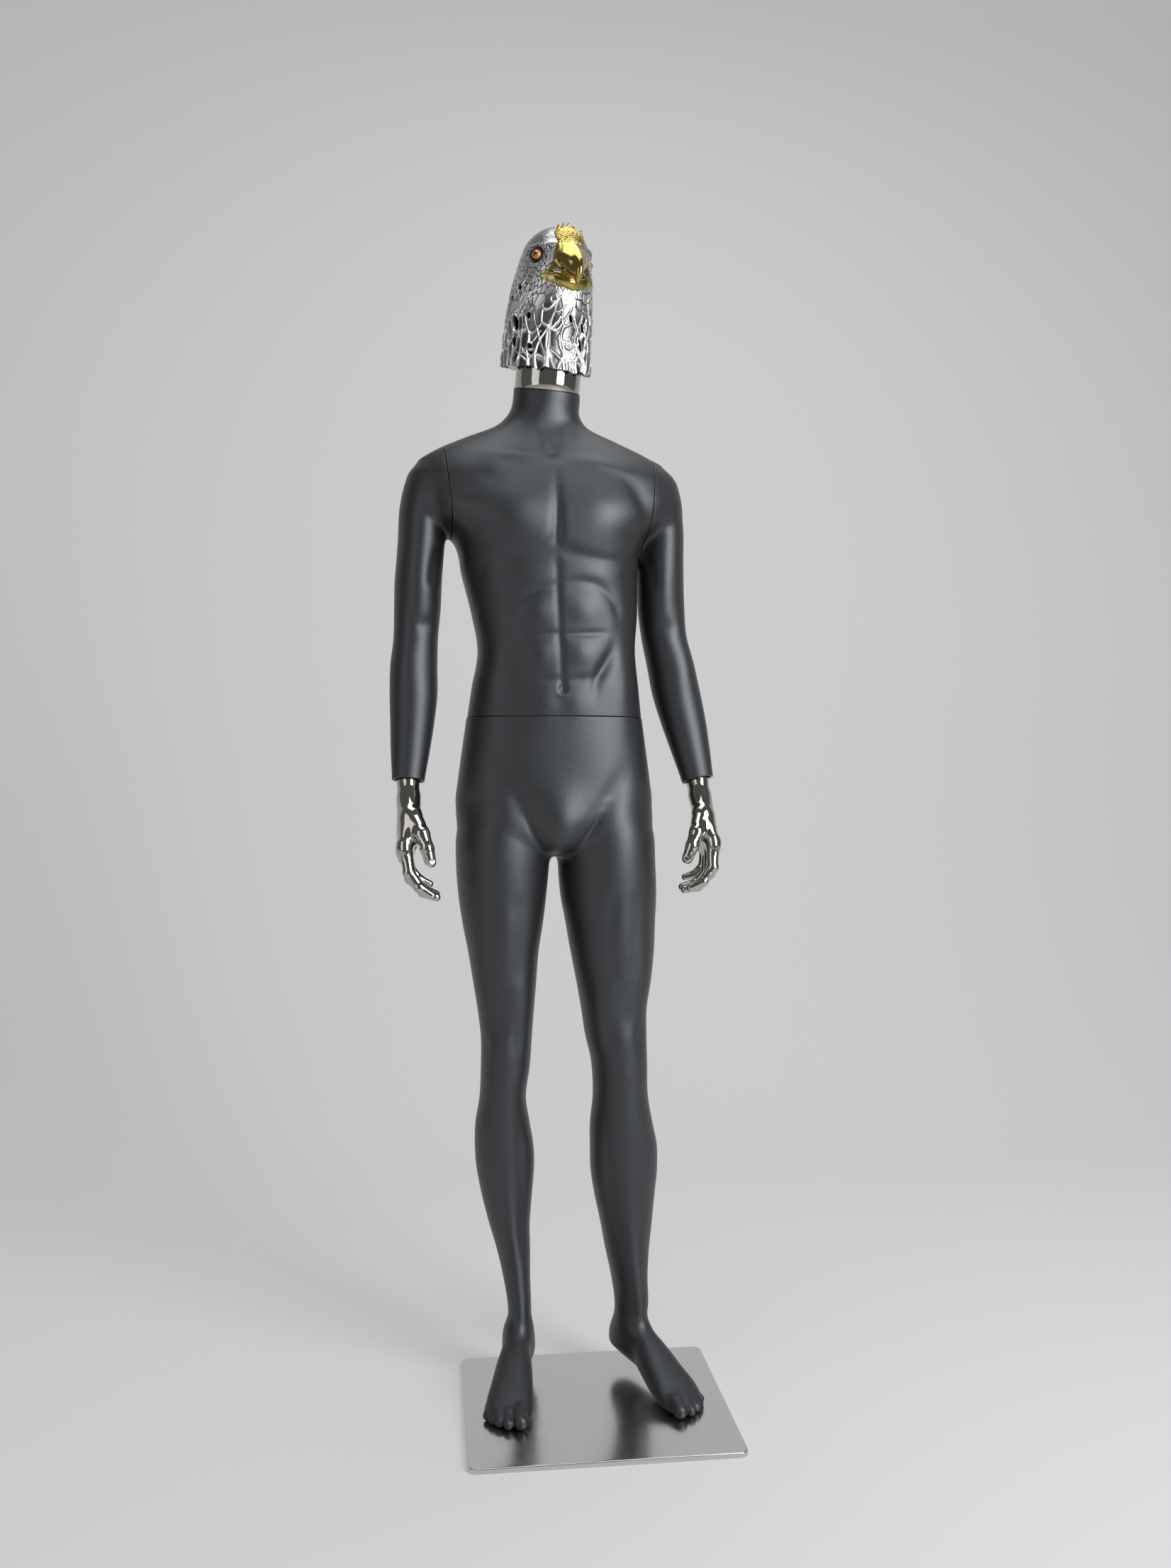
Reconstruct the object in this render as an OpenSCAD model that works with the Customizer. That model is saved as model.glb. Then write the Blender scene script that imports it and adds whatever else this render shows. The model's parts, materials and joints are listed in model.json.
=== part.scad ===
/* [Base] */
// Width of the base plate
base_w = 410; // [380:5:450]
// Depth of the base plate
base_d = 360; // [340:5:400]
// Thickness of the base plate
base_t = 7; // [6:0.5:9]
// Corner radius of the base plate
base_r = 14; // [8:1:20]
// Thickness of the rubber sheet under the plate
underlay_t = 1; // [1:0.5:2]

/* [Support] */
// Radius of the foot spigot
spigot_r = 6; // [5:0.5:7]
// Height of the spigot above the floor
spigot_top = 150; // [120:5:170]
// Wall of the sleeve in the heel
sleeve_wall = 3; // [2:0.5:4]

/* [Shell] */
// Wall of the fibreglass shells
wall = 4; // [3:0.5:5]
// Gap at each seam
seam_gap = 0.6; // [0.4:0.1:1]

/* [Seams] */
// Height of the waist seam
waist_z = 1085; // [1080:1:1090]
// Height of the shoulder fittings
shoulder_z = 1444; // [1440:1:1450]
// Distance of a shoulder seam from the torso's middle
shoulder_u = 161; // [158:1:164]
// Lean of the shoulder seams from upright
shoulder_lean = 6; // [4:1:8]
// Height of the neck seam
neck_z = 1606; // [1602:1:1610]
// Sideways lean of the neck seam
neck_lean = 4; // [3:1:6]
// Forward slope of the neck seam
neck_slope = 14; // [12:1:15]

/* [Pose] */
// Turn of the chest to its left
torso_yaw = 3; // [2:1:5]
// Turn of the head to its left
head_yaw = 20; // [16:1:24]
// Turn of the right foot
right_foot_turn = -8; // [-9:1:-6]
// Turn of the left foot
left_foot_turn = 21; // [19:1:24]

/* [Fittings] */
// Radius of the waist stud
waist_stud_r = 20; // [18:1:22]
// Radius of the shoulder and neck studs
stud_r = 10; // [9:0.5:12]
// Radius of the wrist studs
wrist_stud_r = 6; // [5:0.5:7]
// Radial clearance of each stud in its socket
stud_clearance = 0.06; // [0.04:0.01:0.08]

/* [Head] */
// Radius of the chrome neck
neck_r = 52; // [50:0.5:53]
// Wall of the pierced head shell
head_wall = 3; // [2.5:0.5:3.5]

/* [Hidden] */
$fn = 48;

floor_top = underlay_t + base_t;
screw_r = 2.5;
head_r = 4.6;
plate_t = 3.4;
block_t = 18;
disc_h = 44;
hem_h = 31;
wrist_plug_r = 10;
eye_r = 8;
// Middle of the face, sideways distance, front position and height of the eyes
eye_at = [10, 49, -44, 193];
eps = 0.01;
far = 700;

right = -1;
left = 1;
torso_axis = [-71, 58, 0];
waist_axis = [-59, 52, 0];
neck_seat = [-71, 47, neck_z];
spigot_at = [-113, 104, 0];
right_heel = [-106, 151, 0];
left_heel = [57, 146, 0];
right_wrist = [-290, 20, 985];
left_wrist = [175, 54, 986];
right_wrist_turn = [-12, 4, 0];
left_wrist_turn = [-12, -12, 0];
right_hand_lean = -4;
left_hand_lean = 5;

// Each station is height, x, y, half width, front depth, back depth, fullness, turn.
torso_stations = [
  [1078, -59, 52, 140, 94, 99, 2.4, 0],
  [1130, -58, 50, 133, 94, 86, 2.4, 1],
  [1190, -56, 49, 125, 94, 82, 2.4, 2],
  [1250, -59, 50, 132, 98, 90, 2.4, 3],
  [1310, -66, 52, 140, 105, 100, 2.4, 3],
  [1365, -70, 54, 150, 115, 106, 2.5, 3],
  [1402, -71, 56, 226, 117, 106, 2.3, 3],
  [1434, -71, 57, 227, 112, 104, 2.2, 3],
  [1460, -73, 58, 220, 104, 102, 2.2, 3],
  [1482, -76, 59, 204, 94, 98, 2.2, 3],
  [1502, -79, 60, 179, 82, 92, 2.2, 3],
  [1524, -80, 60, 130, 68, 84, 2.2, 3],
  [1545, -79, 57, 79, 60, 72, 2.1, 4],
  [1566, -76, 52, 58, 56, 62, 2, 6],
  [1588, -72, 48, 53.5, 54, 56, 2, 8],
  [1625, -71, 44, 52.5, 53, 54, 2, 8]
];

pelvis_stations = [
  [868, -58, 54, 60, 52, 60, 2, 0],
  [885, -58, 53, 110, 78, 96, 2.1, 0],
  [915, -58, 53, 150, 92, 118, 2.3, 0],
  [950, -59, 54, 157, 96, 126, 2.4, 0],
  [990, -59, 54, 153, 97, 122, 2.4, 0],
  [1035, -59, 53, 147, 96, 110, 2.4, 0],
  [1092, -59, 52, 139, 94, 98, 2.4, 0]
];

right_leg_stations = [
  [56, -112, 100, 22, 30, 34, 2, -4],
  [90, -112, 98, 21, 30, 32, 2, -4],
  [130, -112, 96, 20.5, 27, 30, 2, -3],
  [177, -116.5, 92, 22, 28, 35, 2, -2],
  [224, -122, 87, 27, 33, 44, 2, 0],
  [270, -129, 81, 33, 40, 52, 2, 0],
  [318, -133.5, 75, 40.5, 46, 59, 2, 0],
  [366, -136.5, 69, 46.5, 51, 64, 2, 0],
  [400, -138.5, 64, 47, 53, 63, 2, 0],
  [438, -141.5, 58, 43.5, 54, 57, 2, 0],
  [482, -141.5, 52, 37, 54, 49, 2, 0],
  [533, -137.5, 49, 39, 56, 47, 2.1, 0],
  [578, -136, 49, 40.5, 58, 51, 2.1, 0],
  [624, -137, 50, 44.5, 62, 58, 2.1, 0],
  [668, -138.5, 50, 50, 68, 64, 2.1, 0],
  [714, -140.5, 50, 56, 75, 71, 2.1, 0],
  [760, -141.5, 50, 64, 81, 80, 2.1, 0],
  [805, -142, 51, 70, 85, 90, 2.1, 0],
  [854, -141.5, 52, 74, 88, 104, 2.1, 0],
  [905, -139, 53, 75, 88, 114, 2.1, 0],
  [950, -130, 54, 68, 82, 106, 2.1, 0]
];

left_leg_stations = [
  [56, 70, 98, 25, 34, 36, 2, 28],
  [90, 70, 96, 25, 34, 36, 2, 28],
  [126, 73, 92, 25, 34, 37, 2, 26],
  [171, 69, 88, 27, 36, 42, 2, 22],
  [218, 64.5, 84, 34, 41, 49, 2, 17],
  [264, 62, 79, 41, 46, 56, 2, 13],
  [311, 58.5, 74, 48.5, 51, 62, 2, 10],
  [358, 56.5, 68, 54, 55, 66, 2, 8],
  [395, 55, 63, 54, 56, 65, 2, 7],
  [434, 50.5, 58, 50, 57, 59, 2, 6],
  [480, 48, 53, 44, 56, 51, 2, 5],
  [533, 45.5, 50, 44.5, 58, 49, 2.1, 4],
  [578, 40, 50, 49, 60, 52, 2.1, 3],
  [624, 36.5, 50, 52.5, 64, 59, 2.1, 2],
  [668, 36, 50, 60, 69, 65, 2.1, 1],
  [714, 34, 50, 67, 76, 72, 2.1, 0],
  [760, 31, 50, 72, 81, 80, 2.1, 0],
  [805, 28, 51, 77, 85, 90, 2.1, 0],
  [854, 25.5, 52, 78, 88, 104, 2.1, 0],
  [905, 23, 53, 77, 88, 114, 2.1, 0],
  [950, 14, 54, 68, 82, 106, 2.1, 0]
];

right_arm_stations = [
  [955, -292, 13, 24, 23, 23, 2, 0],
  [987, -290, 20, 25.5, 25, 25, 2, 0],
  [1032, -287, 30, 30.5, 31, 31, 2, 0],
  [1077, -284, 39, 34.5, 37, 37, 2, 0],
  [1121, -282, 46, 37.5, 41, 41, 2, 0],
  [1166, -281.5, 50, 37, 41, 42, 2, 0],
  [1210, -278.5, 52, 35, 41, 42, 2, 0],
  [1256, -276, 50, 36.5, 44, 45, 2, 0],
  [1300, -274.5, 49, 37, 48, 49, 2, 0],
  [1367, -269, 47, 36, 53, 53, 2, 3],
  [1430, -266, 46, 34, 50, 50, 2, 3],
  [1465, -262, 46, 26, 38, 38, 2, 3]
];

left_arm_stations = [
  [955, 182, 48, 25, 23, 23, 2, 0],
  [987, 175, 54, 26.5, 25, 25, 2, 0],
  [1034, 165, 62, 32, 31, 31, 2, 0],
  [1080, 155, 70, 37, 37, 37, 2, 0],
  [1126, 144.5, 76, 39.5, 41, 41, 2, 0],
  [1173, 135, 79, 38.5, 41, 42, 2, 0],
  [1219, 124.5, 80, 37, 41, 42, 2, 0],
  [1266, 119.5, 79, 38, 44, 45, 2, 0],
  [1340, 117, 76, 37, 50, 51, 2, 3],
  [1405, 115.5, 73, 35, 52, 52, 2, 3],
  [1440, 113, 72, 32, 48, 48, 2, 3],
  [1472, 109, 71, 24, 36, 36, 2, 3]
];

// Each foot station is distance from the heel, sideways shift, half width, sole, top.
foot_stations = [
  [0, 0, 8, 50, 72],
  [10, 0, 20, 38, 88],
  [30, 0, 25, 33, 102],
  [62, 0, 25, 31, 106],
  [92, -1, 26, 30, 96],
  [122, -2, 29, 21, 78],
  [152, -3, 33, 11, 62],
  [180, -4, 37, 8, 48],
  [205, -3, 36, 8, 36],
  [224, -1, 28, 8, 29],
  [237, 2, 13, 11, 22]
];

// Each head station is height, x, y, half width, front depth, back depth, fullness, turn.
head_stations = [
  [-6, 2, 3, 72, 72, 74, 2.1, 0],
  [30, 2, 3, 70.5, 71, 72, 2.1, 0],
  [62, 3, 3, 68.5, 70, 70, 2.1, 0],
  [100, 6, 3, 67.5, 73, 68, 2.1, 0],
  [140, 9, 2, 65, 76, 66, 2.1, 0],
  [170, 10, -2, 61, 77, 61, 2.1, 0],
  [196, 11, -6, 55, 73, 54, 2.1, 0],
  [222, 11, -10, 44, 60, 42, 2.1, 0],
  [240, 11, -12, 28, 42, 27, 2, 0],
  [250, 11, -12, 8, 12, 8, 2, 0]
];

// Each beak station is height, x, y, half width, front depth, back depth, fullness, turn.
upper_beak_stations = [
  [133, 10, -103, 3, 7, 6, 1.8, 0],
  [146, 10, -96, 9, 16, 14, 1.8, 0],
  [162, 10, -82, 18, 27, 20, 1.8, 0],
  [180, 10, -64, 33, 42, 16, 1.9, 0],
  [200, 10, -56, 38, 42, 12, 2, 0],
  [218, 10, -50, 34, 34, 10, 2, 0],
  [232, 10, -44, 20, 22, 8, 2, 0]
];
lower_beak_stations = [
  [120, 10, -76, 8, 8, 8, 2, 0],
  [130, 10, -74, 20, 20, 10, 2, 0],
  [144, 10, -70, 28, 24, 10, 2, 0],
  [158, 10, -68, 26, 18, 10, 2, 0]
];

// Finger joints from knuckle to tip: towards the palm, backwards, down.
finger_paths = [
  [[-6, -30, -118], [2, -31, -152], [20, -31, -173], [36, -30, -184]],
  [[-6, -10, -120], [4, -10, -158], [26, -10, -176], [44, -9, -184]],
  [[-5, 10, -118], [5, 11, -153], [27, 12, -169], [44, 13, -177]],
  [[-3, 28, -110], [5, 31, -138], [21, 32, -150], [35, 33, -158]],
  [[4, -24, -62], [20, -42, -92], [28, -46, -114], [33, -45, -136]]
];
finger_radii = [8.5, 9, 8.5, 7.5, 10.5];
palm_stations = [
  [-128, -7, 0, 7, 36, 34, 2.2, 0],
  [-112, -6, 0, 11, 41, 38, 2.3, 0],
  [-88, -4, 0, 13, 41, 38, 2.3, 0],
  [-66, -3, -1, 14, 34, 33, 2.2, 0],
  [-44, -2, 0, 14, 26, 26, 2, 0],
  [-20, 0, 0, 17, 23, 23, 2, 0],
  [4, 0, 0, 19, 22, 22, 2, 0]
];

// Curve through the stations
function smooth(a, b, c, d, t) =
  0.5 * (2 * b + (c - a) * t + (2 * a - 5 * b + 4 * c - d) * t * t
  + (3 * b - a - 3 * c + d) * t * t * t);
function refine(s, steps) = [
  for (i = [0:len(s) - 2]) for (j = [0:steps - 1])
    smooth(s[max(i - 1, 0)], s[i], s[i + 1], s[min(i + 2, len(s) - 1)], j / steps),
  s[len(s) - 1]
];
function curve_power(v, e) = sign(v) * pow(abs(v), 2 / e);

// One level ring of a station, drawn inset by the given depth
function level_ring(s, inset, n) = [
  for (i = [0:n - 1])
    let (t = 360 * i / n, b = sin(t) < 0 ? s[4] : s[5])
    let (px = (s[3] - inset) * curve_power(cos(t), s[6]))
    let (py = (b - inset) * curve_power(sin(t), s[6]))
    [s[1] + px * cos(s[7]) - py * sin(s[7]), s[2] + px * sin(s[7]) + py * cos(s[7]), s[0]]
];

// One upright ring of a foot station
function foot_ring(s, n) = [
  for (i = [0:n - 1])
    let (t = 360 * i / n)
    [s[1] + s[2] * curve_power(cos(t), 2.4), -s[0],
     (s[3] + s[4]) / 2 + (s[4] - s[3]) / 2 * curve_power(sin(t), 2.4)]
];

// One ring square to a finger that bends in the plane of the palm's normal
function finger_ring(p, d, r, n) =
  let (m = d / norm(d), u = cross([0, 1, 0], m), v = cross(m, u / norm(u))) [
  for (i = [0:n - 1])
    p + r * cos(360 * i / n) * u / norm(u) + r * sin(360 * i / n) * v
];

module skin(rings) {
  n = len(rings[0]);
  top = (len(rings) - 1) * n;
  polyhedron(
    points = [for (r = rings) each r],
    faces = [
      [for (i = [0:n - 1]) i],
      [for (i = [0:n - 1]) top + n - 1 - i],
      for (k = [0:len(rings) - 2]) for (i = [0:n - 1])
        let (a = k * n + i, b = k * n + (i + 1) % n)
        each [[a, a + n, b + n], [a, b + n, b]]
    ]
  );
}

module loft(stations, inset = 0, n = 28, steps = 1)
  skin([for (s = refine(stations, steps)) level_ring(s, inset, n)]);

module at_shoulder(side)
  translate(torso_axis) rotate([0, 0, torso_yaw]) mirror([side == right ? 1 : 0, 0, 0])
    translate([shoulder_u, 0, shoulder_z]) rotate([0, 90 + shoulder_lean, 0]) children();

module at_neck() translate(neck_seat) rotate([neck_slope, neck_lean, 0]) children();

module at_head() translate(neck_seat + [-3, -4, 0]) rotate([0, 0, head_yaw]) children();

module at_wrist(side)
  translate(side == right ? right_wrist : left_wrist)
    rotate(side == right ? right_wrist_turn : left_wrist_turn) children();
module at_hand(side)
  at_wrist(side) rotate([0, side == right ? right_hand_lean : left_hand_lean, 0])
    mirror([side == right ? 0 : 1, 0, 0]) children();

module outside_shoulder(side, offset)
  at_shoulder(side) translate([-300, -300, offset]) cube([300 + far, 600, 500]);

// Plane cuts that end the torso at its shoulders
module shoulder_cuts(offset)
  for (side = [right, left])
    at_shoulder(side) translate([-300, -300, -offset]) cube([408, 600, 500]);

module screw(length)
  union() {
    translate([0, 0, -length]) cylinder(r = screw_r, h = length - 2);
    translate([0, 0, -2]) cylinder(r1 = screw_r, r2 = head_r, h = 2);
  }

module screw_circle(count, radius, length)
  for (i = [0:count - 1]) rotate([0, 0, 360 * i / count + 45])
    translate([radius, 0, 0]) screw(length);

module screw_holes(count, radius)
  for (i = [0:count - 1]) rotate([0, 0, 360 * i / count + 45]) translate([radius, 0, 0]) {
    translate([0, 0, -20]) cylinder(r = screw_r + 0.2, h = 30);
    translate([0, 0, -2]) cylinder(r1 = screw_r + 0.2, r2 = head_r + 0.2, h = 2);
    cylinder(r = head_r + 0.2, h = 3);
  }

// Round fitting whose face is at height 0, with a hub going down
module fitting(flange_r, hub_r, hub_h, bore, count, ring_r)
  difference() {
    union() {
      translate([0, 0, -plate_t]) cylinder(r = flange_r, h = plate_t);
      translate([0, 0, -hub_h]) cylinder(r = hub_r, h = hub_h - eps);
    }
    translate([0, 0, -hub_h - 1]) cylinder(r = bore, h = hub_h + 2);
    screw_holes(count, ring_r);
  }

// Timber block under a fitting, glassed to the inside of a flat end
module fitting_block(block_r, hub_r, count, ring_r)
  translate([0, 0, -wall + eps]) difference() {
    translate([0, 0, -block_t]) cylinder(r = block_r, h = block_t);
    translate([0, 0, -block_t - 1]) cylinder(r = hub_r + 0.2, h = block_t + 2);
    for (i = [0:count - 1]) rotate([0, 0, 360 * i / count + 45])
      translate([ring_r, 0, -14]) cylinder(r = screw_r, h = 16);
  }

module base_outline(inset)
  union() {
    square([base_w - 2 * base_r, base_d - 2 * inset], center = true);
    square([base_w - 2 * inset, base_d - 2 * base_r], center = true);
    for (x = [-1, 1]) for (y = [-1, 1])
      translate([x * (base_w / 2 - base_r), y * (base_d / 2 - base_r)])
        circle(r = base_r - inset);
  }

module base_plate() color("silver")
  difference() {
    translate([0, 0, underlay_t]) linear_extrude(base_t) base_outline(0);
    translate([spigot_at[0], spigot_at[1], 0]) {
      cylinder(r = 4.2, h = 20);
      cylinder(r = 8.2, h = underlay_t + 2.5);
    }
  }

module base_underlay() color("dimgray")
  difference() {
    linear_extrude(underlay_t) base_outline(3);
    translate([spigot_at[0], spigot_at[1], -1]) cylinder(r = 12, h = 5);
  }

module support_rod() color("silver")
  translate([spigot_at[0], spigot_at[1], floor_top]) difference() {
    cylinder(r = spigot_r, h = spigot_top - floor_top);
    translate([0, 0, -1]) cylinder(r = 4, h = 21);
  }

module rod_screw() color("gray")
  translate([spigot_at[0], spigot_at[1], underlay_t + 0.3]) {
    cylinder(r = 8, h = 2);
    cylinder(r = 4, h = 22);
  }

module foot_socket() color("gray")
  translate([spigot_at[0], spigot_at[1], 36]) difference() {
    cylinder(r = spigot_r + sleeve_wall, h = spigot_top - 30);
    translate([0, 0, -1]) cylinder(r = spigot_r + stud_clearance, h = spigot_top - 28);
    translate([0, 0, 24]) rotate([-90, 0, 0]) cylinder(r = 2.6, h = 20);
  }

module foot_set_screw() color("gray")
  translate(spigot_at + [0, spigot_r, 60]) rotate([-90, 0, 0]) cylinder(r = 2.5, h = 12);

module foot(side)
  translate(side == right ? right_heel : left_heel)
    rotate([0, 0, side == right ? right_foot_turn : left_foot_turn])
      scale([side == right ? 1 : -1, 1, 1]) skin([for (s = foot_stations) foot_ring(s, 20)]);

module lower_body_shell() color([0.16, 0.17, 0.18])
  resize([0, 0, 0]) difference() {
    union() {
      loft(pelvis_stations, 0, 32);
      loft(right_leg_stations, 0, 20);
      loft(left_leg_stations, 0, 20);
      foot(right);
      foot(left);
    }
    difference() {
      union() {
        loft(pelvis_stations, wall, 32);
        loft(right_leg_stations, wall, 20);
        loft(left_leg_stations, wall, 20);
      }
      translate([-far, -far, waist_z - seam_gap / 2 - wall]) cube(2 * far);
      translate([-far, -far, -far]) cube([2 * far, 2 * far, far + 62]);
    }
    translate([-far, -far, waist_z - seam_gap / 2]) cube(2 * far);
    translate(waist_axis) cylinder(r = 46.4, h = 2 * far);
    translate(spigot_at) cylinder(r = spigot_r + sleeve_wall + 0.4, h = 90);
    translate(spigot_at + [0, 0, 60]) rotate([-90, 0, 0]) cylinder(r = 3, h = 80);
  }

module at_waist() translate(waist_axis + [0, 0, waist_z]) children();

module lower_waist_block() color("burlywood")
  at_waist() translate([0, 0, -seam_gap / 2]) fitting_block(72, 31, 4, 38);

module waist_socket() color("gray")
  at_waist() translate([0, 0, -0.6]) difference() {
    fitting(46, 31, 34, waist_stud_r + stud_clearance, 4, 38);
    translate([0, 0, -36]) cylinder(r = 27.5, h = 22);
    cube([54, 9, 80], center = true);
  }

module waist_socket_screws() color("silver")
  at_waist() translate([0, 0, -0.6]) screw_circle(4, 38, 15);

module waist_washer() color("white")
  at_waist() translate([0, 0, -0.6]) difference() {
    cylinder(r = 32, h = 1);
    translate([0, 0, -1]) cylinder(r = 28.5, h = 4);
  }

module torso_shell() color([0.16, 0.17, 0.18])
  resize([0, 0, 0]) difference() {
    loft(torso_stations, 0, 36);
    difference() {
      loft(torso_stations, wall, 36);
      translate([-far, -far, -far]) cube([2 * far, 2 * far, far + waist_z + seam_gap / 2 + wall]);
      at_neck() translate([-far, -far, -wall - seam_gap / 2]) cube(2 * far);
      shoulder_cuts(wall + seam_gap / 2);
    }
    translate([-far, -far, -far]) cube([2 * far, 2 * far, far + waist_z + seam_gap / 2]);
    at_neck() translate([-far, -far, -seam_gap / 2]) cube(2 * far);
    shoulder_cuts(seam_gap / 2);
    translate(waist_axis + [0, 0, 1000]) cylinder(r = 46.4, h = 100);
    at_neck() translate([0, 0, -20]) cylinder(r = 28.4, h = 40);
    for (side = [right, left])
      at_shoulder(side) translate([0, 0, -20]) cylinder(r = 28.4, h = 40);
  }

module upper_waist_block() color("burlywood")
  at_waist() translate([0, 0, seam_gap / 2]) mirror([0, 0, 1]) fitting_block(72, 31, 4, 38);

module waist_flange() color("gray")
  at_waist() translate([0, 0, 0.6]) mirror([0, 0, 1])
    fitting(46, 31, 26, waist_stud_r, 4, 38);

module waist_flange_screws() color("silver")
  at_waist() translate([0, 0, 0.6]) mirror([0, 0, 1]) screw_circle(4, 38, 15);

module waist_stud() color("silver")
  at_waist() difference() {
    translate([0, 0, -32]) cylinder(r = waist_stud_r, h = 56);
    translate([0, 30, -24]) rotate([90, 0, 0]) cylinder(r = 3.5, h = 60);
    translate([0, 0, 4]) cylinder(r = 6, h = 30);
  }

module waist_lock_pin() color("silver")
  at_waist() translate([0, 25.5, -24]) rotate([90, 0, 0]) cylinder(r = 3.5, h = 51);

module shoulder_block(side) color("burlywood")
  at_shoulder(side) translate([0, 0, -seam_gap / 2]) fitting_block(38, 15, 3, 21);

module shoulder_socket(side) color("gray")
  at_shoulder(side) translate([0, 0, -0.6])
    fitting(28, 15, 32, stud_r + stud_clearance, 3, 21);

module shoulder_screws(side) color("silver")
  at_shoulder(side) translate([0, 0, -0.6]) screw_circle(3, 21, 15);

module neck_block() color("burlywood")
  at_neck() translate([0, 0, -seam_gap / 2]) fitting_block(36, 15, 3, 21);

module neck_socket() color("gray")
  at_neck() translate([0, 0, -0.6]) fitting(28, 15, 32, stud_r + stud_clearance, 3, 21);

module neck_screws() color("silver")
  at_neck() translate([0, 0, -0.6]) screw_circle(3, 21, 15);

// Torso form above the waist, whose shoulders the arms carry on
module upper_torso(inset)
  loft([for (s = torso_stations) if (s[0] > 1300) s], inset, 36);

module arm_shell(side) color([0.16, 0.17, 0.18])
  resize([0, 0, 0]) difference() {
    intersection() {
      union() {
        upper_torso(0);
        loft(side == right ? right_arm_stations : left_arm_stations, 0, 20);
      }
      outside_shoulder(side, seam_gap / 2);
    }
    intersection() {
      union() {
        upper_torso(wall);
        loft(side == right ? right_arm_stations : left_arm_stations, wall, 20);
      }
      outside_shoulder(side, seam_gap / 2 + wall);
    }
    at_wrist(side) translate([-60, -60, -120]) cube([120, 120, 120 + seam_gap]);
    at_shoulder(side) translate([0, 0, -20]) cylinder(r = 28.4, h = 40);
  }

module arm_block(side) color("burlywood")
  at_shoulder(side) translate([0, 0, seam_gap / 2]) mirror([0, 0, 1])
    fitting_block(32, 15, 3, 21);

module arm_stud(side) color("silver")
  at_shoulder(side) union() {
    translate([0, 0, 0.6]) mirror([0, 0, 1]) fitting(28, 15, 20, 6, 3, 21);
    translate([0, 0, -30]) cylinder(r = stud_r, h = 34);
  }

module arm_screws(side) color("silver")
  at_shoulder(side) translate([0, 0, 0.6]) mirror([0, 0, 1]) screw_circle(3, 21, 15);

module wrist_socket(side) color("gray")
  at_wrist(side) translate([0, 0, 5]) difference() {
    cylinder(r = 20.4, h = 16);
    translate([0, 0, -1]) cylinder(r = wrist_stud_r + stud_clearance, h = 20);
  }

module wrist_stud(side) color("silver")
  at_wrist(side) union() {
    translate([0, 0, -18]) cylinder(r = wrist_plug_r, h = 18);
    translate([0, 0, -seam_gap]) cylinder(r = 15, h = 3);
    translate([0, 0, 2]) cylinder(r = wrist_stud_r, h = 17);
  }

module finger(path, r) {
  p = refine(path, 2);
  tip = p[len(p) - 1] - p[len(p) - 2];
  rings = [
    for (i = [0:len(p) - 1])
      finger_ring(p[i], p[min(i + 1, len(p) - 1)] - p[max(i - 1, 0)], r * (1 - 0.04 * i), 10),
    finger_ring(p[len(p) - 1] + tip * 0.5, tip, r * 0.45, 10)
  ];
  skin(rings);
}

module hand(side) color("gainsboro")
  resize([0, 0, 0]) difference() {
    at_hand(side) union() {
      loft(palm_stations, 0, 20);
      for (i = [0:4]) finger(finger_paths[i], finger_radii[i]);
    }
    at_hand(side) loft([for (s = palm_stations) if (s[0] > -90 && s[0] < -15) s], wall, 20);
    at_wrist(side) translate([0, 0, -24]) cylinder(r = wrist_plug_r, h = 60);
    at_wrist(side) translate([-far, -far, -seam_gap]) cube(2 * far);
  }

module neck_tube() color("gainsboro")
  difference() {
    at_neck() difference() {
      translate([0, 0, seam_gap / 2]) cylinder(r = neck_r, h = 90);
      translate([0, 0, 4]) cylinder(r = neck_r - 2.5, h = 90);
      translate([0, 0, -1]) cylinder(r = stud_r, h = 20);
    }
    translate([-far, -far, neck_z + disc_h]) cube(2 * far);
  }

module neck_stud() color("silver")
  at_neck() union() {
    translate([0, 0, -30]) cylinder(r = stud_r, h = 36);
    translate([0, 0, 4]) cylinder(r = 20, h = 4);
  }

module head_disc() color("gray")
  at_head() translate([0, 0, disc_h]) difference() {
    cylinder(r = 64, h = 4);
    translate([0, 0, -1]) cylinder(r = 26, h = 10);
  }

module head_shell() color("gainsboro")
  at_head() resize([0, 0, 0]) difference() {
    loft(head_stations, 0, 28);
    difference() {
      loft(head_stations, head_wall, 28);
      translate([-far, -far, 246]) cube(2 * far);
    }
    translate([0, 0, hem_h]) rotate([0, 0, -head_yaw]) rotate([neck_slope, neck_lean, 0])
      translate([-far, -far, -2 * far]) cube(2 * far);
    for (side = [right, left]) translate([eye_at[0] + side * eye_at[1], eye_at[2], eye_at[3]])
      sphere(r = eye_r + 0.3, $fn = 20);
  }

// The two halves of the beak lie on the outside of the head shell
module upper_beak() color("gold")
  at_head() resize([0, 0, 0]) difference() {
    loft(upper_beak_stations, 0, 20);
    loft(head_stations, -0.1, 28);
  }

module lower_beak() color("goldenrod")
  at_head() resize([0, 0, 0]) difference() {
    loft(lower_beak_stations, 0, 20);
    loft(head_stations, -0.1, 28);
    loft(upper_beak_stations, -0.3, 20);
  }

module eye(side) color("orange")
  at_head() translate([eye_at[0] + side * eye_at[1], eye_at[2], eye_at[3]]) sphere(r = eye_r);

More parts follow.
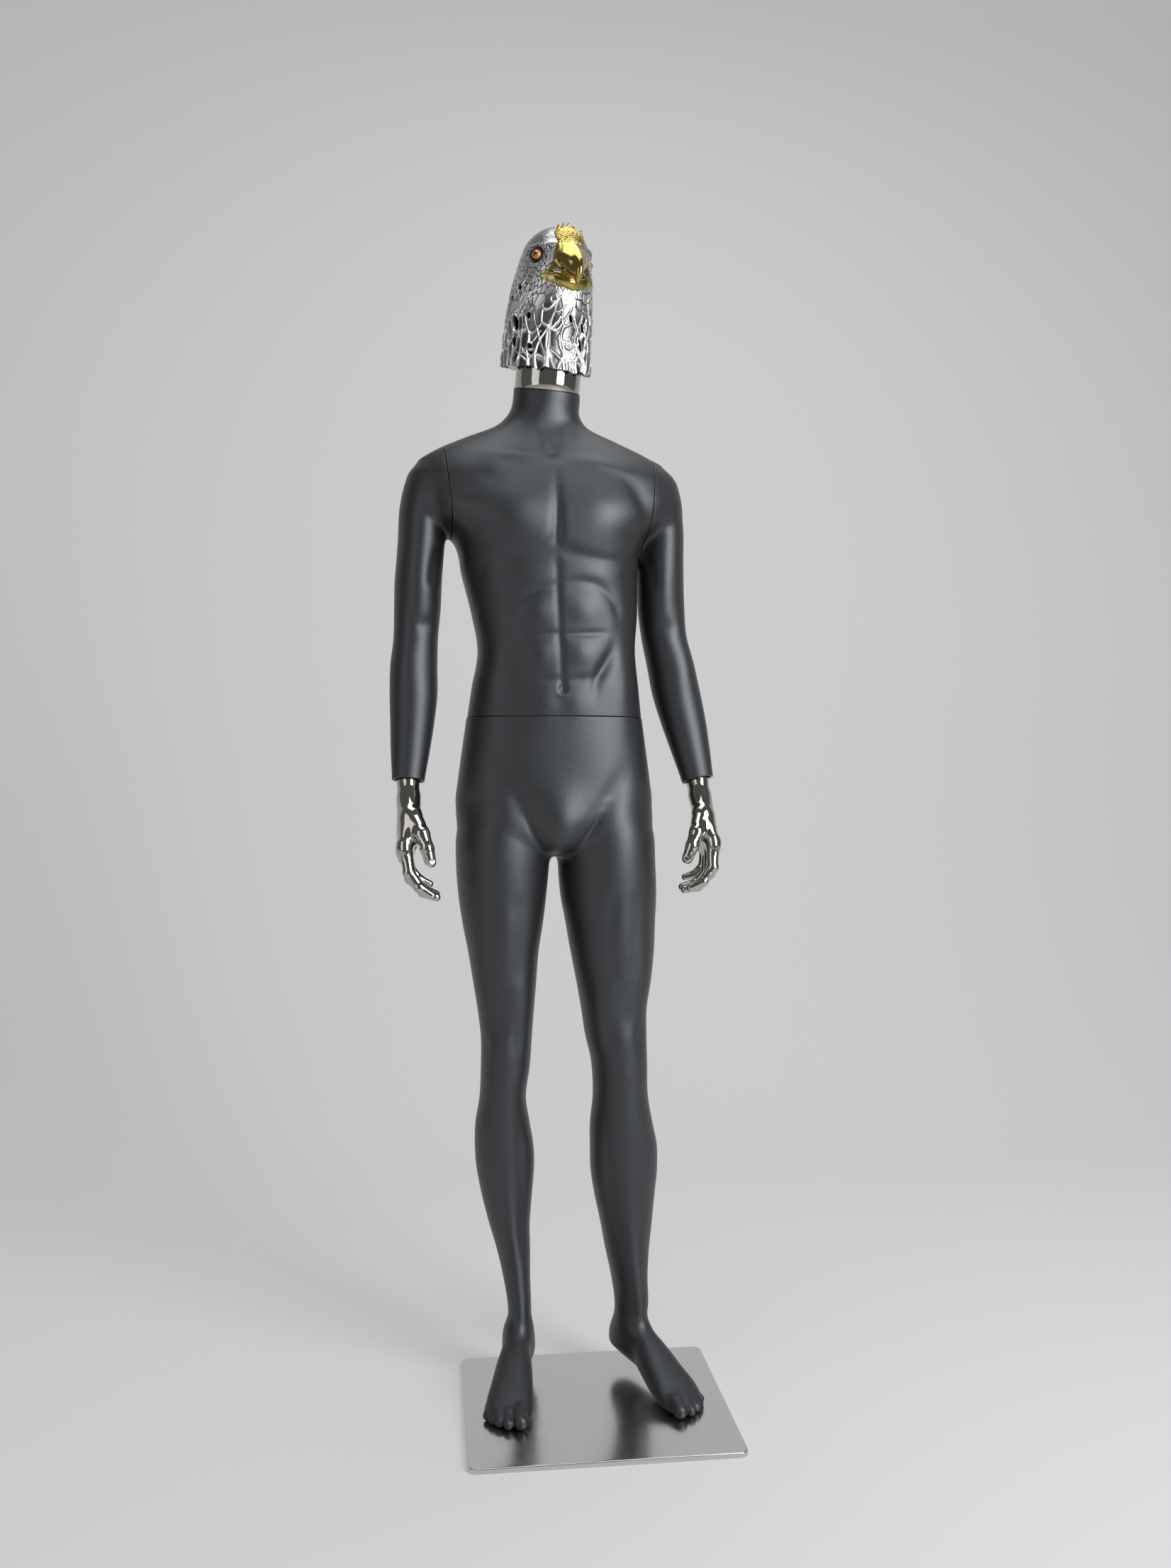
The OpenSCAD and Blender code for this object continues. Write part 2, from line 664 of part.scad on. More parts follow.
base_plate();
base_underlay();
support_rod();
rod_screw();
foot_socket();
foot_set_screw();
lower_body_shell();
lower_waist_block();
waist_socket();
waist_socket_screws();
waist_washer();
torso_shell();
upper_waist_block();
waist_flange();
waist_flange_screws();
waist_stud();
waist_lock_pin();
shoulder_block(right);  // right_shoulder_block
shoulder_socket(right);  // right_shoulder_socket
shoulder_screws(right);  // right_shoulder_screws
shoulder_block(left);  // left_shoulder_block
shoulder_socket(left);  // left_shoulder_socket
shoulder_screws(left);  // left_shoulder_screws
neck_block();
neck_socket();
neck_screws();
arm_shell(right);  // right_arm_shell
arm_block(right);  // right_arm_block
arm_stud(right);  // right_arm_stud
arm_screws(right);  // right_arm_screws
wrist_socket(right);  // right_wrist_socket
arm_shell(left);  // left_arm_shell
arm_block(left);  // left_arm_block
arm_stud(left);  // left_arm_stud
arm_screws(left);  // left_arm_screws
wrist_socket(left);  // left_wrist_socket
hand(right);  // right_hand
wrist_stud(right);  // right_wrist_stud
hand(left);  // left_hand
wrist_stud(left);  // left_wrist_stud
neck_tube();
neck_stud();
head_disc();
head_shell();
upper_beak();
lower_beak();
eye(right);  // right_eye
eye(left);  // left_eye
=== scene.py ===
import json
import math

import bmesh
import bpy
import numpy as np
import openvdb
from mathutils import Matrix, Vector


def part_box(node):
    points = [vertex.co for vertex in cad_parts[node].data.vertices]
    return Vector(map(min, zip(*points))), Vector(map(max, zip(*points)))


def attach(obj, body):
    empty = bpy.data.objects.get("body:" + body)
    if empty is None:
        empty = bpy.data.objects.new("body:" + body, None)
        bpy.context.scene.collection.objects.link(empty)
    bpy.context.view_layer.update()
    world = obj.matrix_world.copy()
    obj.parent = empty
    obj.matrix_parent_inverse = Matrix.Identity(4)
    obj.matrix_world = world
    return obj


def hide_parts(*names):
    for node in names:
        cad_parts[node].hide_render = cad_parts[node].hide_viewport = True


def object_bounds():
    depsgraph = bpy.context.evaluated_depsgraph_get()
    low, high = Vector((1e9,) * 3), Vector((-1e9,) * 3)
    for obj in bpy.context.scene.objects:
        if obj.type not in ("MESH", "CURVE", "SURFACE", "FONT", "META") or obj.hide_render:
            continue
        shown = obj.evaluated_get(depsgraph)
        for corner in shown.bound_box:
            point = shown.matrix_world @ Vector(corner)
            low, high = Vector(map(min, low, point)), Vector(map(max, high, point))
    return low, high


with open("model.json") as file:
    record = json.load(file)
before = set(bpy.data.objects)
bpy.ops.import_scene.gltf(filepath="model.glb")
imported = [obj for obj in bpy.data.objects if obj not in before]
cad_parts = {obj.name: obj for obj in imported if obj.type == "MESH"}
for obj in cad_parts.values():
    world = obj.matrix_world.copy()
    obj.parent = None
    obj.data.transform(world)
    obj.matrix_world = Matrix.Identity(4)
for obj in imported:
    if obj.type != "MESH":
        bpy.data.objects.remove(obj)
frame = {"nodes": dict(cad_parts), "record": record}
lo0, hi0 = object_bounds()
# The CAD's box in millimetres, which no form may leave.
LOW, HIGH = np.array(lo0) * 1000 + 0.02, np.array(hi0) * 1000 - 0.02

# ---------------------------------------------------------------- forms, in millimetres in the CAD's frame
# Each station is height, x, y, half width, front depth, back depth, fullness, turn.
TORSO = [
    [1070, -59, 52, 141, 94, 100, 2.4, 0], [1130, -58, 50, 133, 94, 86, 2.4, 1],
    [1190, -56, 49, 125, 94, 82, 2.4, 2], [1250, -59, 50, 132, 98, 90, 2.4, 3],
    [1310, -66, 52, 140, 105, 100, 2.4, 3], [1365, -70, 54, 150, 115, 106, 2.5, 3],
    [1402, -71, 56, 196, 117, 106, 2.3, 3], [1434, -71, 57, 211, 112, 104, 2.2, 3],
    [1460, -73, 58, 211, 104, 102, 2.2, 3], [1482, -76, 59, 200, 94, 98, 2.2, 3],
    [1502, -79, 60, 177, 82, 92, 2.2, 3], [1524, -80, 60, 130, 68, 84, 2.2, 3],
    [1545, -79, 57, 79, 60, 72, 2.1, 4], [1566, -76, 52, 58, 56, 62, 2, 6],
    [1588, -72, 48, 53.5, 54, 56, 2, 8], [1625, -71, 44, 52.5, 53, 54, 2, 8],
]
PELVIS = [
    [868, -58, 54, 60, 52, 60, 2, 0], [885, -58, 53, 110, 78, 96, 2.1, 0],
    [915, -58, 53, 150, 92, 117, 2.3, 0], [950, -59, 54, 157, 96, 124.5, 2.4, 0],
    [990, -59, 54, 153, 97, 122, 2.4, 0], [1035, -59, 53, 147, 96, 110, 2.4, 0],
    [1092, -59, 52, 139, 94, 98, 2.4, 0],
]
RIGHT_LEG = [
    [56, -112, 100, 18, 28, 32, 2, -4], [90, -112, 98, 17, 28, 31, 2, -4],
    [130, -112, 96, 19, 27, 30, 2, -3], [177, -116.5, 92, 22, 28, 35, 2, -2],
    [224, -122, 87, 27, 33, 44, 2, 0], [270, -129, 81, 33, 40, 52, 2, 0],
    [318, -133.5, 75, 40.5, 46, 59, 2, 0], [366, -136.5, 69, 46.5, 51, 64, 2, 0],
    [400, -138.5, 64, 47, 53, 63, 2, 0], [438, -141.5, 58, 43.5, 54, 57, 2, 0],
    [482, -141.5, 52, 37, 54, 49, 2, 0], [533, -137.5, 49, 39, 56, 47, 2.1, 0],
    [578, -136, 49, 40.5, 58, 51, 2.1, 0], [624, -137, 50, 44.5, 62, 58, 2.1, 0],
    [668, -138.5, 50, 50, 68, 64, 2.1, 0], [714, -140.5, 50, 56, 75, 71, 2.1, 0],
    [760, -141.5, 50, 64, 81, 80, 2.1, 0], [805, -142, 51, 70, 85, 90, 2.1, 0],
    [854, -141.5, 52, 74, 88, 104, 2.1, 0], [905, -139, 53, 75, 88, 114, 2.1, 0],
    [950, -130, 54, 68, 82, 106, 2.1, 0],
]
LEFT_LEG = [
    [56, 70, 98, 20, 32, 34, 2, 28], [90, 70, 96, 20.5, 32, 35, 2, 28],
    [126, 73, 92, 24, 33, 37, 2, 26], [171, 69, 88, 27, 36, 42, 2, 22],
    [218, 64.5, 84, 34, 41, 49, 2, 17], [264, 62, 79, 41, 46, 56, 2, 13],
    [311, 58.5, 74, 48.5, 51, 62, 2, 10], [358, 56.5, 68, 54, 55, 66, 2, 8],
    [395, 55, 63, 54, 56, 65, 2, 7], [434, 50.5, 58, 50, 57, 59, 2, 6],
    [480, 48, 53, 44, 56, 51, 2, 5], [533, 45.5, 50, 44.5, 58, 49, 2.1, 4],
    [578, 40, 50, 49, 60, 52, 2.1, 3], [624, 36.5, 50, 52.5, 64, 59, 2.1, 2],
    [668, 36, 50, 60, 69, 65, 2.1, 1], [714, 34, 50, 67, 76, 72, 2.1, 0],
    [760, 31, 50, 72, 81, 80, 2.1, 0], [805, 28, 51, 77, 85, 90, 2.1, 0],
    [854, 25.5, 52, 78, 88, 104, 2.1, 0], [905, 23, 53, 77, 88, 114, 2.1, 0],
    [950, 14, 54, 68, 82, 106, 2.1, 0],
]
RIGHT_ARM = [
    [955, -292, 13, 24, 23, 23, 2, 0], [987, -290, 20, 25.5, 25, 25, 2, 0],
    [1032, -287, 30, 30.5, 31, 31, 2, 0], [1077, -284, 39, 34.5, 37, 37, 2, 0],
    [1121, -282, 46, 37.5, 41, 41, 2, 0], [1166, -281.5, 50, 37, 41, 42, 2, 0],
    [1210, -278.5, 52, 35, 41, 42, 2, 0], [1256, -276, 50, 36.5, 44, 45, 2, 0],
    [1300, -274.5, 49, 37, 48, 49, 2, 0], [1367, -269, 47, 36, 53, 53, 2, 3],
    [1430, -266, 46, 34, 50, 50, 2, 3], [1465, -262, 46, 26, 38, 38, 2, 3],
    [1484, -257, 46, 13, 20, 20, 2, 3],
]
LEFT_ARM = [
    [955, 182, 48, 25, 23, 23, 2, 0], [987, 175, 54, 26.5, 25, 25, 2, 0],
    [1034, 165, 62, 32, 31, 31, 2, 0], [1080, 155, 70, 37, 37, 37, 2, 0],
    [1126, 144.5, 76, 39.5, 41, 41, 2, 0], [1173, 135, 79, 38.5, 41, 42, 2, 0],
    [1219, 124.5, 80, 37, 41, 42, 2, 0], [1266, 119.5, 79, 38, 44, 45, 2, 0],
    [1340, 117, 76, 37, 50, 51, 2, 3], [1405, 115.5, 73, 35, 52, 52, 2, 3],
    [1440, 113, 72, 32, 48, 48, 2, 3], [1472, 109, 71, 24, 36, 36, 2, 3],
    [1490, 104, 70, 12, 20, 20, 2, 3],
]
# Each foot station is distance from the heel, sideways shift, half width, sole, top.
FOOT = [
    [0, 0, 8, 50, 70], [10, 0, 18, 38, 82], [30, 0, 22, 33, 92], [62, 0, 22.5, 31, 98],
    [92, -1, 24, 30, 91], [122, -2, 29, 21, 78], [152, -3, 33, 11, 62], [180, -4, 36, 8, 47],
    [200, -3, 34, 8, 36], [212, -2, 29, 8, 29], [222, 0, 18, 11, 22],
]
# Each toe is sideways place and distance of its root and tip, with its radius.
TOES = [
    [(12, 188), (16, 226), 11.5], [(-4, 190), (-3, 226), 8.4], [(-15, 186), (-17, 219), 8],
    [(-25, 180), (-28, 210), 7.6], [(-33, 172), (-37, 198), 7.4],
]


def curve(stations, at):
    """Every value of the stations at the given heights, on a smooth line through them."""
    s = np.array(stations, float)
    z, y = s[:, 0], s[:, 1:]
    m = np.empty_like(y)
    m[1:-1] = (y[2:] - y[:-2]) / (z[2:] - z[:-2])[:, None]
    m[0], m[-1] = (y[1] - y[0]) / (z[1] - z[0]), (y[-1] - y[-2]) / (z[-1] - z[-2])
    d = np.diff(y, axis=0) / np.diff(z)[:, None]
    most = 3 * np.minimum(np.abs(d[1:]), np.abs(d[:-1])) + 0.04
    m[1:-1] = np.clip(m[1:-1], -most, most)
    at = np.clip(at, z[0], z[-1])
    i = np.clip(np.searchsorted(z, at, "right") - 1, 0, len(z) - 2)
    h = (z[i + 1] - z[i])[:, None]
    t = (at - z[i])[:, None] / h
    return ((2 * t**3 - 3 * t**2 + 1) * y[i] + (t**3 - 2 * t**2 + t) * h * m[i]
            + (3 * t**2 - 2 * t**3) * y[i + 1] + (t**3 - t**2) * h * m[i + 1])


class Grid:
    def __init__(self, low, high, step):
        self.low, self.step = np.array(low, float), step
        n = [int((b - a) / step) + 1 for a, b in zip(low, high)]
        self.x, self.y, self.z = (
            (self.low[k] + step * np.arange(n[k])).astype(np.float32).reshape(
                [-1 if j == k else 1 for j in range(3)]) for k in range(3))
        self.shape = tuple(n)

    def loft(self, stations):
        """Roughly the distance from a stack of level rounded outlines, negative inside."""
        p = curve(stations, self.z.ravel().astype(float)).astype(np.float32)
        cx, cy, a, front, back, e, turn = (p[:, k].reshape(1, 1, -1) for k in range(7))
        dx, dy = self.x - cx, self.y - cy
        c, s = np.cos(np.radians(turn)), np.sin(np.radians(turn))
        u, v = dx * c + dy * s, dy * c - dx * s
        b = np.where(v < 0, front, back)
        r = (np.abs(u / a) ** e + np.abs(v / b) ** e) ** (1 / e) + 1e-4
        d = np.sqrt(u * u + v * v) * (1 - 1 / r)
        d = np.where(r < 0.2, -np.minimum(a, b), d)
        over = np.maximum(self.z - stations[-1][0], stations[0][0] - self.z)
        outside = np.sqrt(np.maximum(d, 0) ** 2 + np.maximum(over, 0) ** 2)
        return np.where(over > 0, outside, np.maximum(d, over))

    def mesh(self, d):
        g = openvdb.FloatGrid(9.0)
        g.copyFromArray(np.ascontiguousarray(np.clip(d, -9, 9).astype(np.float32)))
        points, quads = g.convertToQuads(isovalue=0.0)
        return points * self.step + self.low, quads


def join(a, b, k):
    h = np.maximum(k - np.abs(a - b), 0) / k
    return np.minimum(a, b) - h * h * k * 0.25


def step(a, b, x):
    t = np.clip((x - a) / (b - a), 0, 1)
    return t * t * (3 - 2 * t)


def vertex_normals(v, q):
    f = np.cross(v[q[:, 2]] - v[q[:, 0]], v[q[:, 3 if q.shape[1] > 3 else 1]] - v[q[:, 1]])
    n = np.zeros_like(v)
    for k in range(q.shape[1]):
        for j in range(3):
            n[:, j] += np.bincount(q[:, k], f[:, j], len(v))
    return n / np.maximum(np.linalg.norm(n, axis=1), 1e-9)[:, None]


def even(v, q, rounds, amount=0.5):
    """Evens out a mesh without shrinking it."""
    pairs = np.concatenate([q[:, [k, (k + 1) % 4]] for k in range(4)])
    pairs = np.concatenate([pairs, pairs[:, ::-1]])
    count = np.bincount(pairs[:, 0], minlength=len(v))[:, None]
    for r in range(rounds):
        for w in (amount, -amount * 1.04):
            total = [np.bincount(pairs[:, 0], v[pairs[:, 1], j], len(v)) for j in range(3)]
            mean = np.stack(total, 1) / count
            v = v + w * (mean - v)
    return v


# ---------------------------------------------------------------- muscle relief
def line_points(points, n=8):
    p = np.array(points, float)
    p = np.vstack([2 * p[0] - p[1], p, 2 * p[-1] - p[-2]])
    t = np.arange(n)[:, None] / n
    out = []
    for a, b, c, d in zip(p[:-3], p[1:-2], p[2:-1], p[3:]):
        out.append(0.5 * (2 * b + (c - a) * t + (2 * a - 5 * b + 4 * c - d) * t**2
                          + (3 * b - a - 3 * c + d) * t**3))
    return np.vstack(out + [p[-2][None]])


def to_line(q, line):
    """Distance from points to an open line, and how far along it the nearest point is."""
    best, where = np.full(len(q), 1e9), np.zeros(len(q))
    for i, (a, b) in enumerate(zip(line[:-1], line[1:])):
        ab = b - a
        t = np.clip(((q - a) @ ab) / (ab @ ab + 1e-9), 0, 1)
        d = np.hypot(q[:, 0] - a[0] - t * ab[0], q[:, 1] - a[1] - t * ab[1])
        near = d < best
        best[near], where[near] = d[near], (i + t[near]) / (len(line) - 1)
    return best, where


def inside(q, ring):
    odd = np.zeros(len(q), bool)
    for a, b in zip(ring, np.roll(ring, -1, 0)):
        cross = (a[1] > q[:, 1]) != (b[1] > q[:, 1])
        x = a[0] + (q[:, 1] - a[1]) * (b[0] - a[0]) / (b[1] - a[1] + 1e-9)
        odd ^= cross & (q[:, 0] < x)
    return odd


class Relief:
    """Sum of soft forms on the front or the back of the body, in x and z."""

    def __init__(self, v, n):
        self.v, self.n, self.h = v, n, np.zeros(len(v))
        self.face = {"front": step(0.0, 0.45, -n[:, 1]), "back": step(0.0, 0.45, n[:, 1])}

    def near(self, points, margin, face):
        p = np.array(points, float)
        q = self.v[:, [0, 2]]
        ok = (q > p.min(0) - margin).all(1) & (q < p.max(0) + margin).all(1) & (self.face[face] > 0)
        return np.nonzero(ok)[0]

    def groove(self, points, width, depth, face="front", fade=0.2):
        line = line_points(points)
        i = self.near(line, width * 3, face)
        d, t = to_line(self.v[i][:, [0, 2]], line)
        ends = step(0, fade, t) * step(0, fade, 1 - t) if fade else 1
        self.h[i] -= depth * np.exp(-((d / width) ** 2)) * ends * self.face[face][i]

    def plate(self, points, height, soft, face="front", top=None):
        ring = line_points(list(points) + [points[0]], 5)[:-1]
        i = self.near(ring, soft * 5, face)
        q = self.v[i][:, [0, 2]]
        d, _ = to_line(q, np.vstack([ring, ring[:1]]))
        d = np.where(inside(q, ring), d, -d)
        gain = 1 - step(top[0], top[1], q[:, 1]) if top else 1
        self.h[i] += height / (1 + np.exp(-np.clip(d / soft, -30, 30))) * gain * self.face[face][i]

    def bump(self, centre, radii, height):
        r = (self.v - np.array(centre)) / np.array(radii, float)
        self.h += height * np.exp(-(r * r).sum(1))

    def done(self):
        return self.v + self.n * self.h[:, None]


def torso_relief(v, n):
    """The muscles of the chest, belly, back and arms."""
    r = Relief(v, n)
    # chest
    r.plate([(-224, 1452), (-172, 1476), (-124, 1480), (-88, 1470), (-73, 1431), (-72, 1388), (-76, 1358),
             (-92, 1342), (-119, 1335), (-156, 1338), (-189, 1352), (-214, 1376), (-236, 1410)],
            4.4, 3.8, top=(1350, 1470))
    r.plate([(-58, 1440), (-40, 1470), (-6, 1480), (22, 1470), (48, 1440), (66, 1404), (70, 1370),
             (58, 1341), (26, 1331), (-6, 1333), (-41, 1342), (-59, 1357)], 4.6, 3.4, top=(1360, 1474))
    r.bump((-136, -40, 1392), (52, 90, 44), 7.5)
    r.bump((8, -40, 1392), (48, 90, 44), 8.5)
    r.groove([(-65, 1482), (-65, 1420), (-66, 1370), (-65, 1335)], 7, 1.5)
    r.groove([(-150, 1466), (-186, 1444), (-216, 1404)], 20, 2.4, fade=0.4)
    r.groove([(30, 1466), (62, 1434), (80, 1398), (84, 1366)], 18, 3.4, fade=0.4)
    # collar bones, the notch between them and the two neck tendons
    r.groove([(-84, 1479), (-110, 1484), (-150, 1489), (-205, 1489)], 11, -2.2, fade=0.5)
    r.groove([(-56, 1479), (-30, 1479), (6, 1475), (44, 1466), (86, 1452)], 11, -2.8, fade=0.5)
    r.bump((-70, -30, 1496), (14, 40, 15), -5)
    r.groove([(-100, 1552), (-94, 1520), (-80, 1486)], 12, -2.2, fade=0.5)
    r.groove([(-36, 1552), (-44, 1520), (-58, 1486)], 12, -2.2, fade=0.5)
    # ribs
    r.plate([(-57, 1325), (-6, 1323), (34, 1320), (48, 1300), (47, 1269), (26, 1258), (-1, 1282),
             (-28, 1290), (-56, 1280)], 1.6, 5)
    r.plate([(-73, 1325), (-119, 1324), (-160, 1322), (-172, 1296), (-150, 1262), (-122, 1258),
             (-100, 1272), (-73, 1280)], 1.4, 5)
    r.bump((6, -40, 1302), (34, 80, 18), 2.4)
    r.bump((-126, -40, 1300), (36, 80, 20), 2)
    for k in range(3):
        r.groove([(34 + 6 * k, 1312 - 24 * k), (52 + 4 * k, 1302 - 24 * k),
                  (70, 1296 - 24 * k)], 9, 1.2, fade=0.5)
        r.groove([(-164 - 6 * k, 1312 - 24 * k), (-182 - 4 * k, 1302 - 24 * k),
                  (-198, 1296 - 24 * k)], 9, 1.0, fade=0.5)
    # stomach
    r.groove([(-65, 1335), (-63, 1270), (-60, 1214), (-57, 1160), (-56, 1132)], 6, 1.2, fade=0.12)
    r.groove([(-122, 1213), (-90, 1211), (-58, 1210), (-16, 1211), (24, 1214)], 5.5, 1.8, fade=0.2)
    r.groove([(-108, 1144), (-56, 1140), (0, 1144)], 7, 1.4, fade=0.25)
    r.groove([(-128, 1232), (-118, 1258), (-92, 1276), (-62, 1284), (-28, 1290), (2, 1284), (28, 1258),
              (36, 1230)], 8, 1.8, fade=0.15)
    r.plate([(-58, 1274), (-28, 1286), (-4, 1279), (20, 1256), (28, 1228), (20, 1217), (-17, 1215),
             (-58, 1214)], 1.6, 3.8)
    r.plate([(-69, 1271), (-92, 1269), (-114, 1252), (-122, 1226), (-119, 1215), (-66, 1215)], 1.3, 3.8)
    r.plate([(-56, 1209), (-17, 1209), (14, 1208), (21, 1196), (13, 1174), (-4, 1150), (-28, 1146),
             (-54, 1145)], 2, 3.4)
    r.plate([(-66, 1209), (-114, 1207), (-120, 1193), (-115, 1171), (-103, 1147), (-58, 1145)], 1.5, 3.6)
    r.bump((-22, -40, 1246), (26, 80, 22), 3.6)
    r.bump((-92, -40, 1242), (22, 80, 20), 3)
    r.bump((-24, -40, 1180), (26, 80, 21), 4.4)
    r.bump((-88, -40, 1180), (22, 80, 21), 3.6)
    r.bump((-34, -40, 1106), (18, 80, 22), 2)
    r.bump((-80, -40, 1106), (18, 80, 22), 2)
    r.bump((-55, -42, 1128), (5, 30, 9), -4.5)
    r.bump((-55, -42, 1117), (7, 30, 4), 1.6)
    r.groove([(27, 1212), (19, 1180), (4, 1152), (-3, 1134), (-4, 1092)], 10, 5.4, fade=0.45)
    r.groove([(-128, 1206), (-130, 1178), (-117, 1150), (-110, 1108)], 14, 2.4, fade=0.45)
    r.bump((44, -20, 1140), (22, 80, 62), 5)
    r.bump((-160, -20, 1140), (24, 80, 62), 3.4)
    # back
    r.groove([(-66, 1470), (-62, 1380), (-58, 1260), (-56, 1150), (-57, 1060)], 11, 6, "back", 0.12)
    for s in (-1, 1):
        r.plate([(-66 + s * 36, 1470), (-66 + s * 92, 1462), (-66 + s * 116, 1420), (-66 + s * 84, 1356),
                 (-66 + s * 46, 1376)], 2.4, 7, "back")
        r.bump((-66 + s * 76, 160, 1418), (34, 60, 44), 5)
        r.plate([(-62 + s * 14, 1290), (-62 + s * 34, 1300), (-62 + s * 44, 1200), (-62 + s * 40, 1080),
                 (-62 + s * 14, 1080)], 2, 7, "back")
        r.bump((-62 + s * 27, 140, 1190), (15, 60, 90), 3)
        r.groove([(-66 + s * 28, 1350), (-66 + s * 70, 1326), (-66 + s * 118, 1330)], 10, 3, "back")
        r.groove([(-66 + s * 20, 1520), (-66 + s * 60, 1496), (-66 + s * 130, 1492)], 9, 2, "back")
    arm_relief(r)
    return r.done()


def arm_relief(r):
    # shoulder caps, upper arm and forearm
    r.groove([(-236, 1352), (-250, 1320), (-256, 1280)], 9, 2.2)
    r.groove([(84, 1352), (98, 1322), (102, 1285)], 9, 2.2)
    r.bump((-268, 4, 1290), (22, 30, 52), 4)
    r.bump((112, 30, 1292), (22, 30, 52), 4)
    r.bump((-264, 14, 1228), (18, 26, 12), -3)
    r.bump((118, 42, 1232), (18, 26, 12), -3)
    r.bump((-292, 20, 1168), (22, 26, 42), 2.8)
    r.bump((150, 48, 1170), (22, 26, 42), 4)
    r.bump((-276, 98, 1300), (24, 26, 60), 4)
    r.bump((116, 130, 1300), (24, 26, 60), 4)
    r.bump((-276, 96, 1214), (12, 20, 14), 4)
    r.bump((122, 122, 1222), (12, 20, 14), 4)
    r.bump((-312, 40, 1396), (20, 40, 46), 2.5)
    r.bump((158, 66, 1396), (20, 40, 46), 2.5)


def lower_relief(v, n):
    """The muscles of the hips, thighs, knees, shins and ankles."""
    r = Relief(v, n)
    r.groove([(27, 1212), (19, 1180), (4, 1152), (-3, 1134), (-4, 1092)], 10, 5.4, fade=0.45)
    r.groove([(-128, 1206), (-130, 1178), (-117, 1150), (-110, 1108)], 14, 2.4, fade=0.45)
    r.bump((-34, -40, 1106), (18, 80, 22), 2)
    r.bump((-80, -40, 1106), (18, 80, 22), 2)
    r.bump((44, -20, 1140), (22, 80, 62), 5)
    r.bump((-160, -20, 1140), (24, 80, 62), 3.4)
    # groin
    r.groove([(-158, 1030), (-142, 996), (-124, 961), (-108, 928), (-93, 894), (-78, 868)], 17, 4, fade=0.45)
    r.groove([(56, 1030), (40, 996), (22, 965), (3, 930), (-17, 902), (-38, 876)], 17, 4.4, fade=0.45)
    r.groove([(-116, 940), (-106, 918), (-94, 892), (-80, 868)], 5.5, 3, fade=0.5)
    r.groove([(10, 940), (-1, 921), (-17, 899), (-36, 874)], 5.5, 3.4, fade=0.5)
    r.bump((-56, -45, 925), (38, 44, 44), 12)
    r.bump((-56, -45, 894), (28, 40, 26), 6)
    r.bump((-152, -30, 880), (38, 60, 80), 4)
    r.bump((42, -30, 880), (38, 60, 80), 4)
    # seat
    r.groove([(-58, 1040), (-58, 980), (-58, 900), (-58, 850)], 7, 13, "back", 0.18)
    for s in (-1, 1):
        r.bump((-58 + s * 66, 160, 925), (50, 60, 56), 2.4)
        r.groove([(-58 + s * 12, 862), (-58 + s * 60, 850), (-58 + s * 120, 862)], 9, 5, "back")
    # right leg, then left leg: thigh, knee, shin
    for x, s, k in ((-146, -1, 0), (46, 1, 8)):
        r.bump((x - s * 34, 10, 642), (18, 36, 46), 5)
        r.bump((x + s * 30, 8, 672), (18, 36, 60), 3.5)
        r.bump((x, -6, 564 + k), (22, 26, 26), 2.4)
        r.bump((x + s * 10, -6, 606 + k), (16, 26, 20), -1.8)
        r.bump((x - s * 24, 4, 580 + k), (9, 26, 22), -2.5)
        r.bump((x + s * 25, 4, 572 + k), (9, 26, 22), -2)
        r.bump((x + s * 1, -2, 512 + k), (14, 24, 18), 1.6)
        r.groove([(x - s * 20, 820), (x - s * 26, 740), (x - s * 16, 660)], 12, 2)
        r.groove([(x + s * 16, 820), (x + s * 14, 740), (x + s * 10, 670)], 12, 1.4)
        r.groove([(x - s * 16, 860), (x + s * 20, 640)], 10, -1, "back")
        r.groove([(x + s * 2, 470), (x + s * 3, 400), (x + s * 2, 330)], 7, 3, "back")
    r.groove([(-148, 500), (-144, 420), (-134, 320), (-124, 230), (-118, 180)], 14, -1.6, fade=0.4)
    r.groove([(-124, 500), (-118, 430), (-112, 340), (-108, 250), (-104, 170)], 10, 2.4, fade=0.35)
    r.groove([(46, 505), (50, 420), (58, 320), (68, 230), (76, 180)], 14, -1.4, fade=0.4)
    r.groove([(24, 505), (20, 430), (28, 340), (42, 250), (52, 170)], 10, 2, fade=0.35)
    # ankles and heel cords
    for c in ((-91, 92, 104), (48, 82, 114)):
        r.bump(c, (14, 17, 20), 2)
    for c in ((-134, 104, 92), (98, 108, 100)):
        r.bump(c, (13, 16, 20), 1.6)
    r.bump((-92, 122, 130), (12, 12, 40), -5)
    r.bump((-132, 122, 130), (12, 12, 40), -5)
    r.bump((52, 122, 134), (12, 12, 40), -5)
    r.bump((92, 128, 134), (12, 12, 40), -5)
    return r.done()


# ---------------------------------------------------------------- meshes
def from_arrays(name, v, q):
    """A mesh from vertices in millimetres and quads."""
    m = bpy.data.meshes.new(name)
    m.vertices.add(len(v))
    m.vertices.foreach_set("co", (v * 0.001).astype(np.float32).ravel())
    m.loops.add(q.size)
    m.loops.foreach_set("vertex_index", q.astype(np.int32).ravel())
    m.polygons.add(len(q))
    m.polygons.foreach_set("loop_start", np.arange(0, q.size, q.shape[1], dtype=np.int32))
    m.update(calc_edges=True)
    m.validate()
    return m


def place(name, mesh, body, replaced=(), material=None, sharp=None):
    """Adds a visible piece that rides on a body and stands in for CAD nodes."""
    o = bpy.data.objects.new(name, mesh)
    bpy.context.scene.collection.objects.link(o)
    mesh.shade_smooth()
    if sharp:
        mesh.set_sharp_from_angle(angle=math.radians(sharp))
    if material:
        mesh.materials.append(material)
    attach(o, body)
    if replaced:
        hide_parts(*replaced)
    return o


